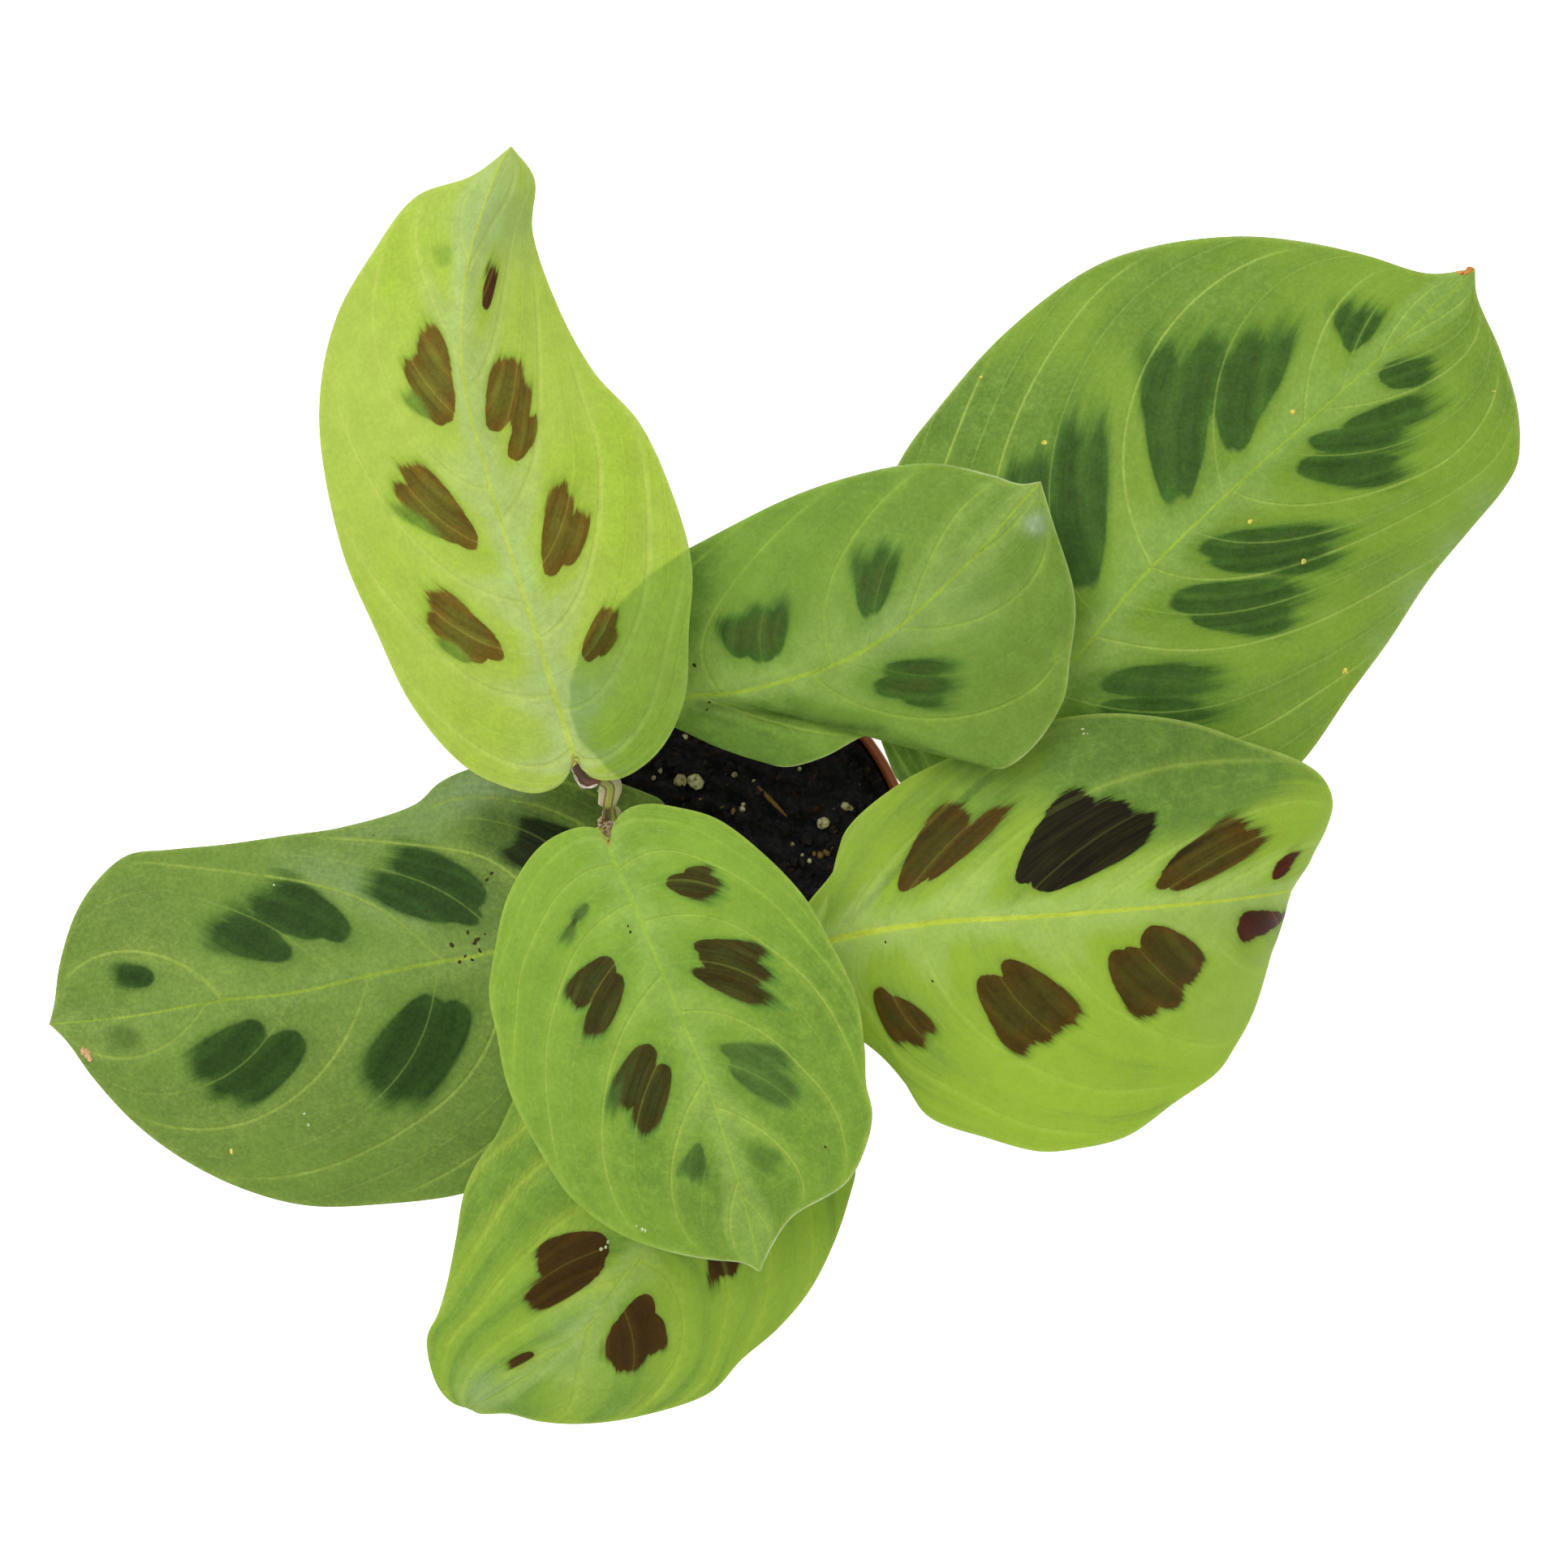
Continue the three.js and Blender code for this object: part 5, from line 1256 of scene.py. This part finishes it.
def limb(name, points, radius_at, wing_at, steps, finish, node=None):
    """A closed round limb along a curve: rings of radius radius_at(t), widened both ways by wing_at(t) in the
    level direction square to the run. The last ring at each end is drawn in to LIMB_END_SHARE, with a pole
    beyond it, so the ends are domed."""
    curve = curve_through(points)
    run = curve(1.0) - curve(0.0)
    t = np.linspace(0, 1, steps + 1)
    centre, along = curve(t), direction(curve, t)
    level = unit(np.array([run[1], -run[0], 0.0]))
    across = unit(level - along * (along @ level)[:, None])
    over = np.cross(along, across)
    angle = np.linspace(0, 2 * np.pi, LIMB_SIDES, endpoint=False)
    drawn = np.ones_like(t)
    drawn[[0, -1]] = LIMB_END_SHARE
    radius = radius_at(t)[:, None] * drawn[:, None]
    wide = np.cos(angle) * (radius + wing_at(t)[:, None])
    high = np.sin(angle) * radius
    rings = centre[:, None] + across[:, None] * wide[..., None] + over[:, None] * high[..., None]
    poles = centre[[0, -1]] + along[[0, -1]] * [[-LIMB_END_REACH], [LIMB_END_REACH]]
    points = np.concatenate([rings.reshape(-1, 3), poles])
    made = piece(name, points, tube_faces(steps + 1, LIMB_SIDES), finish, node)
    stored(
        made,
        along=np.append(np.repeat(t, LIMB_SIDES), [0, 1]),
        turn=np.append(np.tile(angle, steps + 1), [0, 0]),
        off=np.append(np.abs(wide), [0, 0]),
        wing=np.append(np.repeat(wing_at(t), LIMB_SIDES), [0, 0]),
    )


def limb_finish(name, plain, dark, pale, joints, width, neck=None, dark_at=None):
    """Stem or stalk skin: lengthwise ribs and streaks, turning pale and rough at the joints, dark in the neck
    and maroon from dark_at on, in the thickened joint under the blade. Off the middle, a sheath is striped
    and pale, with a brown line where its wing begins."""
    f = Finish(name)
    place = f.place()
    along, turn = f.stored("along"), f.stored("turn")
    streak = f.noise(f.vector(turn * 2.2, along * 3), 1, 3)
    grain = f.noise(place, 2600, 2)
    patch = f.noise(place, 260, 3)
    colour = f.mix((patch * 0.6 + streak * 0.5).ramp(0.3, 0.8), plain, dark)
    at_joint = 0
    for joint in joints:
        at_joint = abs(along - joint).ramp(width, width * 0.3) + at_joint
    colour = f.mix(at_joint * (0.5 + patch * 0.6), colour, pale)
    off, wing = f.stored("off"), f.stored("wing")
    stripe = f.noise(f.vector(turn * 3.4, along * 2), 1, 2)
    membrane = f.mix(stripe.ramp(0.35, 0.65), *MEMBRANE)
    colour = f.mix(wing.ramp(0.2, 0.7) * off.ramp(0.8, 1.1), colour, membrane)
    colour = f.mix(wing.ramp(0.2, 0.7) * abs(off - 0.8).ramp(0.26, 0.1) * 0.8, colour, WING_LINE)
    if neck:
        begin, end = neck
        necked = along.ramp(begin - 0.02, begin + 0.02) * along.ramp(end + 0.02, end - 0.02)
        colour = f.mix(necked * 0.9, colour, f.mix(streak.ramp(0.45, 0.6), *NECK))
    if dark_at:
        maroon = f.mix(patch.ramp(0.35, 0.7), *MAROON)
        colour = f.mix(along.ramp(dark_at - 0.05, dark_at) * 0.95, colour, maroon)
    colour = f.lit(colour, 0.78 + 0.4 * grain)
    height = streak * 0.08 + grain * 0.05 + patch * 0.08
    return f.surface({"Base Color": colour, "Roughness": 0.5 + 0.25 * grain, "Normal": f.bumps(height)})


def jointed_stem(name, stem):
    """A stem that thins towards its top, with a swelling at each joint and faint rings."""
    skin = limb_finish("skin_" + name, *STEM_TONES, joints=stem["joints"], width=0.05)

    def radius(t):
        swelling = sum(0.45 * bump(t, joint, 0.025) for joint in stem["joints"])
        return stem["radius"] * (1.08 - 0.2 * t) + swelling + 0.04 * np.sin(90 * t)

    limb("jointed_" + name, stem["line"], radius, no_wing, STEM_STEPS, skin, name)


def stalk(name, leaf):
    """A leaf's stalk, thickened at its foot and in the joint under the blade. Its sheath's wing widens from
    narrow at the share first to wide at the share last."""
    first, last, narrow, wide = leaf["sheath"]
    skin = limb_finish(
        "skin_stalk_" + name, *STALK_TONES,
        joints=[0.06], width=0.06, neck=leaf.get("neck"), dark_at=leaf["dark_at"],
    )

    def radius(t):
        return leaf["thick"] + 0.25 * bump(t, 0.86, 0.12) + 0.2 * bump(t, 0, 0.15)

    def wing(t):
        ends = ramp(t, first - 0.02, first + 0.01) * ramp(t, last + 0.06, last)
        return ends * (narrow + (wide - narrow) * ramp(t, first, last))

    limb("petiole_" + name, leaf["stalk"], radius, wing, STALK_STEPS, skin, "stalk_" + name)


for stem_name, stem in STEMS.items():
    jointed_stem(stem_name, stem)

for column, (leaf_name, outline) in enumerate(LEAVES.items()):
    leaf = outline | LOOKS[leaf_name] | {key: row[column] for key, row in LEAF_NUMBERS.items()}
    stalk(leaf_name, leaf)
    blade(leaf_name, leaf)

# The pale collar beside the back left leaf's joint, and the lumpy scales round the node of the stem under it.

COLLAR = [
    (-24, 24.2, 148.4), (-23.2, 22, 147.9), (-21.9, 19.9, 147.3), (-20.2, 19.6, 146.9), (-18.5, 20.2, 146.6),
]
NODE_PLACES = [(-17, 12.1, 141.5), (-16.9, 11.1, 141.5), (-16.6, 10, 141.2)]
NODE_SPREAD = [0.85, 0.85, 0.6]
NODE_SCALES = 7


def collar_radius(t):
    """A quarter of a millimetre, with waves along the collar."""
    return 0.26 + 0.08 * np.sin(23 * t)


collar_skin = lump_finish("collar_skin", tone(212, 198, 184))
limb("collar_back_left", COLLAR, collar_radius, no_wing, COLLAR_STEPS, collar_skin)


def node_scales():
    """Rings of rough lumps round the node, each ring three times up and down."""
    turn = np.linspace(0, 2 * np.pi, NODE_SCALES, endpoint=False)
    ring = np.stack([np.cos(turn), np.sin(turn), 0.4 * np.sin(3 * turn)], -1)
    centres = [centre + spread * ring for centre, spread in zip(placed(NODE_PLACES), NODE_SPREAD)]
    sizes = random.uniform(0.4, 0.65, (len(NODE_PLACES) * NODE_SCALES, 3))
    finish = lump_finish("node_scale_skin", tone(172, 150, 116))
    scattered("node_scales", np.concatenate(centres), sizes, finish, "stem", roughness=0.18, rows=6, sides=10)


node_scales()

# Pot and soil

ROUND_SIDES = 192
SOIL_RINGS = 110
CORNER_EASE = 0.45
CORNER_POINTS = 4
DRILL_SIDES = 48
DRILL_ENDS = (-6, 9)
SHARP_ANGLE = 50


def lathe(name, profile, finish, node=None, lift=None):
    """A profile of (radius, height) turned about +Z. Its first and last points lie on the axis. lift(x, y, z)
    moves the points up or down."""
    profile = np.array(profile, float)
    ring = profile[1:-1]
    angle = np.linspace(0, 2 * np.pi, ROUND_SIDES, endpoint=False)
    x, y = ring[:, :1] * np.cos(angle), ring[:, :1] * np.sin(angle)
    body = np.stack([x, y, ring[:, 1:] + 0 * x], -1).reshape(-1, 3)
    ends = [[0, 0, profile[0, 1]], [0, 0, profile[-1, 1]]]
    points = np.concatenate([body, ends])
    if lift:
        points[:, 2] = lift(*points.T)
    return piece(name, points, tube_faces(len(ring), ROUND_SIDES), finish, node)


def eased(profile):
    """The profile with each corner replaced by a quadratic arc that starts and ends CORNER_EASE away, or
    nearer where the side is short."""
    p = np.array(profile, float)
    out = [p[:1]]
    t = np.linspace(0, 1, CORNER_POINTS)[:, None]
    for before, corner, after in zip(p[:-2], p[1:-1], p[2:]):
        a, b = before - corner, after - corner
        start = corner + a * min(CORNER_EASE / np.linalg.norm(a), 0.4)
        end = corner + b * min(CORNER_EASE / np.linalg.norm(b), 0.4)
        out.append((1 - t) ** 2 * start + 2 * t * (1 - t) * corner + t**2 * end)
    return np.concatenate([*out, p[-1:]])


def pot_finish():
    """Moulded terracotta-coloured plastic: faint flow marks round the wall, dust and fine scuffs."""
    f = Finish("terracotta_plastic")
    place = f.place()
    grain = f.noise(place, 900, 2)
    cloud = f.noise(place, 28, 3)
    flow = f.noise(f.stretched(30, 30, 1400), 1, 2)
    scuff = f.noise(f.stretched(900, 900, 60), 1, 3)
    scuffs = scuff.ramp(0.66, 0.74) * cloud.ramp(0.45, 0.65)
    colour = f.mix(cloud.ramp(0.3, 0.7), tone(158, 78, 50), tone(140, 66, 44))
    colour = f.mix(scuffs * 0.35, colour, tone(196, 140, 112))
    height_above = Number(f, f.node("SeparateXYZ", sockets={0: place}).outputs[2])
    dust = height_above.ramp(18 * MM, 0.0) * cloud.ramp(0.4, 0.7)
    colour = f.mix(dust * 0.3, colour, tone(120, 96, 78))
    colour = f.lit(colour, 0.94 + 0.12 * flow)
    sockets = {
        "Base Color": colour,
        "Roughness": 0.38 + 0.12 * grain + 0.2 * scuffs + 0.15 * dust,
        "Normal": f.bumps(grain * 0.02 + flow * 0.03),
    }
    return f.surface(sockets)


# Radius and height, from the middle of the underside up the outer wall, over the rim and down inside.
POT_PROFILE = [
    (0, 0), (15.5, 0), (17, POT_FOOT_HEIGHT), (30, POT_FOOT_HEIGHT), (31, 0), (33.8, 0),
    (POT_BASE_RADIUS, 1.2), (POT_SHOULDER_RADIUS, 75.6), (48.6, POT_SHOULDER_HEIGHT),
    (POT_BAND_RADIUS, 78), (49.5, 86.8), (POT_RIM_RADIUS, 87.6), (POT_RIM_RADIUS, 89.3), (49.7, RIM_HEIGHT),
    (48.7, RIM_HEIGHT), (48.3, 89.5), (48.1, 87), (POT_MOUTH_RADIUS, 78.2), (46, 75.8), (33.8, 3.2),
    (32.2, 1.4), (31.4, 1.4), (30.4, 3), (16.4, 3), (14.8, 1.4), (0, 1.4),
]


def drilled(made):
    """Cuts the ring of drain holes through the floor, with one cylinder for each."""
    t = np.linspace(0, 2 * np.pi, DRILL_SIDES, endpoint=False)
    low = np.arange(DRILL_SIDES)
    onward = (low + 1) % DRILL_SIDES
    walls = np.stack([low, onward, onward + DRILL_SIDES, low + DRILL_SIDES], -1)
    points, faces = [], []
    for k in range(DRAIN_COUNT):
        a = (k + 0.5) / DRAIN_COUNT * 2 * np.pi
        x = DRAIN_RING_RADIUS * np.cos(a) + DRAIN_RADIUS * np.cos(t)
        y = DRAIN_RING_RADIUS * np.sin(a) + DRAIN_RADIUS * np.sin(t)
        points += [np.stack([x, y, 0 * t + z], -1) for z in DRILL_ENDS]
        first = k * 2 * DRILL_SIDES
        faces += (walls + first).tolist()
        faces += [(low[::-1] + first).tolist(), (low + first + DRILL_SIDES).tolist()]
    mesh = bpy.data.meshes.new("drills")
    mesh.from_pydata((np.concatenate(points) * MM).tolist(), [], faces)
    drills = linked("drills", mesh)
    cut = made.modifiers.new("drain_holes", "BOOLEAN")
    cut.operation, cut.object, cut.solver = "DIFFERENCE", drills, "EXACT"
    whole = bpy.data.meshes.new_from_object(made.evaluated_get(bpy.context.evaluated_depsgraph_get()))
    made.modifiers.remove(cut)
    made.data = whole
    bpy.data.objects.remove(drills)
    whole.set_sharp_from_angle(angle=np.radians(SHARP_ANGLE))


drilled(lathe("nursery_pot", eased(POT_PROFILE), pot_finish(), "pot"))


def soil_height(x, y):
    """Top of the soil: the crossed waves and dish of the solid, broken up by lumps of three sizes."""
    waves = np.sin(0.61 * x + 0.9) * np.cos(0.53 * y - 0.4) + np.sin(1.13 * y + 0.37 * x)
    dish = -1.2 * np.cos(np.hypot(x, y) / POT_MOUTH_RADIUS * np.pi)
    fine = 0.5 * lumps(x, y, 5, 3) + 0.4 * np.abs(lumps(x, y, 2.4, 4)) + 0.25 * np.abs(lumps(x, y, 1.2, 5))
    return SOIL_TOP + 0.8 * waves + dish + fine


def soil_finish(name, dark, light, red):
    """Damp peat: nearly black, with brown and reddish fibres and a rough, broken surface."""
    f = Finish(name)
    place = f.place()
    grain = f.noise(place, 700, 4, 0.65)
    fibre = f.noise(place, 240, 3, 0.6, 1.5)
    fleck = f.noise(place, 420, 1)
    colour = f.mix(grain.ramp(0.4, 0.75), dark, light)
    colour = f.mix(fibre.ramp(0.62, 0.74) * 0.7, colour, red)
    colour = f.mix(fleck.ramp(0.74, 0.8) * 0.7, colour, tone(120, 104, 84))
    sockets = {
        "Base Color": colour,
        "Roughness": 0.95 - 0.2 * fibre.ramp(0.55, 0.7),
        "Specular IOR Level": 0.2,
        "Normal": f.bumps(grain * 0.5 + fibre * 0.3),
    }
    return f.surface(sockets)


peat = soil_finish("damp_peat", tone(23, 22, 31), tone(48, 41, 46), tone(76, 46, 44))


def potting_soil():
    """Fills the pot: a profile up the wall and over the top, with the top lifted by soil_height."""
    top = [(radius, SOIL_TOP) for radius in np.linspace(SOIL_RADIUS, 0, SOIL_RINGS)]
    profile = [(0, SOIL_BOTTOM), (33.6, SOIL_BOTTOM), (45.6, 76.1), (SOIL_RADIUS, 78.9), *top]

    def lift(x, y, z):
        return np.where(z > SOIL_TOP - 0.1, soil_height(x, y), z)

    lathe("potting_soil", profile, peat, "soil", lift)


potting_soil()


def on_soil(x, y, raise_by):
    """Places raised above the top of the soil."""
    return np.stack([x, y, soil_height(x, y) + raise_by], -1)


def crumbs(name, count, low, high, finish):
    """Crumbs spread evenly over the soil: the radius is the root of an even draw."""
    radius = CRUMB_REACH * np.sqrt(random.uniform(0, 1, count))
    turn = random.uniform(0, 2 * np.pi, count)
    size = random.uniform(low, high, count)[:, None] * random.uniform(0.6, 1.3, (count, 3))
    centres = on_soil(radius * np.cos(turn), radius * np.sin(turn), 0.25 * size.mean(axis=1))
    scattered(name, centres, size, finish, "soil", roughness=0.25, rows=4, sides=7)


crumbs("peat_crumbs", count=900, low=0.4, high=1.3, finish=peat)
bark = soil_finish("bark_crumb", tone(46, 28, 20), tone(84, 54, 36), tone(104, 58, 38))
crumbs("bark_crumbs", count=160, low=0.3, high=1.0, finish=bark)


def perlite_finish():
    """Puffed white grains, greyed with peat: bright with dark pores."""
    f = Finish("perlite")
    place = f.place()
    pores = f.noise(place, 800, 3, 0.6)
    stain = f.noise(place, 400, 2)
    colour = f.mix(pores.ramp(0.34, 0.55), tone(128, 106, 78), tone(216, 204, 172))
    colour = f.mix(stain.ramp(0.48, 0.7) * 0.7, colour, tone(158, 128, 84))
    sockets = {"Base Color": colour, "Roughness": 0.9, "Normal": f.bumps(pores * 0.25)}
    return f.surface(sockets)


# Perlite grains that show between the leaves: x, y seen on the rim's level, and radius.
PERLITE = [
    (-0.8, 21, 1.5), (2.5, 20.9, 1.75), (29.6, 12, 1.4), (34.3, 15.7, 1.0), (35.4, 15.2, 0.8),
    (12.3, 14.9, 0.7), (12.6, 15.9, 0.55), (0.2, 30.3, 0.7), (10.7, 22.3, 0.7), (14.9, 20.8, 0.55),
    (23, 7.5, 0.45), (26.6, 4, 0.5), (24.5, 23.5, 0.5), (3.3, 17, 0.4), (-6.5, 21.6, 0.5), (25.1, 5.2, 0.4),
    (9, 22.5, 0.35),
]
HIDDEN_GRAINS = 26

# Beige and orange-brown chips that show there in the same way.
CHIPS = [
    (27.6, 5.5, 0.8), (28.9, 5.2, 1.0), (30.2, 5.8, 1.0), (31.1, 6.8, 0.7), (10.4, 14.5, 0.7),
    (4.6, 30.5, 0.4),
]


def between_leaves(seen_lumps):
    """x, y and radius of lumps on the soil, from where they appear."""
    x, y, size = np.array(seen_lumps).T
    level = placed(np.column_stack([x, y, np.full(len(x), SOIL_TOP + 0.5)]))
    return level[:, 0], level[:, 1], size


def perlite():
    """The grains that show, and more of them on the soil under the leaves."""
    x, y, size = between_leaves(PERLITE)
    radius = GRAIN_REACH * np.sqrt(random.uniform(0.1, 1, HIDDEN_GRAINS))
    turn = random.uniform(1.7, 6.0, HIDDEN_GRAINS)
    x, y = np.append(x, radius * np.cos(turn)), np.append(y, radius * np.sin(turn))
    size = np.append(size, random.uniform(0.5, 1.6, HIDDEN_GRAINS))
    sizes = size[:, None] * random.uniform(0.85, 1.1, (len(size), 3))
    centres = on_soil(x, y, 0.45 * size)
    scattered("perlite_grains", centres, sizes, perlite_finish(), "soil", roughness=0.1, rows=9, sides=14)


def bark_chips():
    """Rough lumps of bark, one at each place."""
    x, y, size = between_leaves(CHIPS)
    sizes = size[:, None] * random.uniform(0.6, 1.2, (len(size), 3))
    finish = lump_finish("bark_chip", tone(142, 108, 70))
    centres = on_soil(x, y, 0.4 * size)
    scattered("bark_chips", centres, sizes, finish, "soil", roughness=0.2, rows=7, sides=11)


perlite()
bark_chips()

SLIVER_ROWS = 25
SLIVER_SIDES = 8


def sliver_finish():
    """Split wood: brown, lighter along its grain."""
    f = Finish("wood_sliver")
    place = f.place()
    grain = f.noise(place, 900, 3, 0.6)
    colour = f.mix(grain, tone(96, 62, 28), tone(140, 100, 50))
    return f.surface({"Base Color": colour, "Roughness": 0.8, "Normal": f.bumps(grain * 0.2)})


def splinter(name, ends, width, finish):
    """A tapering splinter between two points seen on the rim's level, lying on the soil: flattened rings
    whose half width goes as 1/4 + sin(pi t)^0.6, with small waves."""
    start, end = placed([(*end, SOIL_TOP + 1) for end in ends])
    t = np.linspace(0, 1, SLIVER_ROWS)
    line = start + (end - start) * t[:, None]
    line[:, 2] = soil_height(line[:, 0], line[:, 1]).max() + 0.1
    along = unit(end - start)
    across = np.array([-along[1], along[0], 0])
    half = width / 2 * (0.25 + np.sin(np.pi * np.clip(t, 0.06, 0.94)) ** 0.6) * (1 + 0.12 * np.sin(31 * t))
    turn = np.linspace(0, 2 * np.pi, SLIVER_SIDES, endpoint=False)
    rings = line[:, None] + across * (np.cos(turn) * half[:, None])[..., None]
    rings[..., 2] += np.sin(turn) * half[:, None] * 0.7
    points = np.concatenate([rings.reshape(-1, 3), line[[0, -1]] + along * [[-0.4], [0.4]]])
    faces = [face[:, ::-1] for face in tube_faces(SLIVER_ROWS, SLIVER_SIDES)]
    piece(name, points, faces, finish)


splinter("wood_sliver", ends=[(15.2, 20.2), (21.6, 13.6)], width=0.8, finish=sliver_finish())

# Stage, light and camera

FLOOR_HALF_WIDTH = 3000
FLOOR_DROP = 1
FLOOR_GLOW = 0.62


def stage():
    """A wide white floor just under the pot, which also glows a little, as on a light table."""
    f = Finish("white_floor")
    sockets = {
        "Base Color": tone(250, 250, 250),
        "Roughness": 0.9,
        "Specular IOR Level": 0.0,
        "Emission Color": (1, 1, 1, 1),
        "Emission Strength": FLOOR_GLOW,
    }
    corners = [(-1, -1), (1, -1), (1, 1), (-1, 1)]
    mesh = bpy.data.meshes.new("floor")
    points = [(FLOOR_HALF_WIDTH * MM * x, FLOOR_HALF_WIDTH * MM * y, -FLOOR_DROP * MM) for x, y in corners]
    mesh.from_pydata(points, [], [(0, 1, 2, 3)])
    mesh.materials.append(f.surface(sockets))
    floor = linked("floor", mesh)


stage()


def soft_light(name, place, aim, size, power):
    """A square area light at place, turned towards aim. Both are in metres."""
    data = bpy.data.lights.new(name, "AREA")
    data.shape, data.size, data.energy = "SQUARE", size, power
    lamp = linked(name, data)
    lamp.location = place
    lamp.rotation_mode = "QUATERNION"
    lamp.rotation_quaternion = (Vector(aim) - Vector(place)).to_track_quat("-Z", "Y")


soft_light("window", place=(-0.45, 0.5, 1.3), aim=(0.0, 0.0, 0.1), size=0.9, power=13.0)

world = bpy.data.worlds.new("studio")
world.use_nodes = True
sky = world.node_tree.nodes["Background"].inputs
sky["Color"].default_value = (1, 1, 1, 1)
sky["Strength"].default_value = 0.85
scene = bpy.context.scene
scene.world = world
scene.view_settings.view_transform = "Standard"

camera = bpy.data.cameras.new("camera")
camera.lens = camera.sensor_width / 2 * (VIEW_HEIGHT - RIM_HEIGHT) / VIEW_HALF_WIDTH
eye = linked("camera", camera)
eye.location = (VIEW[0] * MM, VIEW[1] * MM, VIEW_HEIGHT * MM)
scene.camera = eye
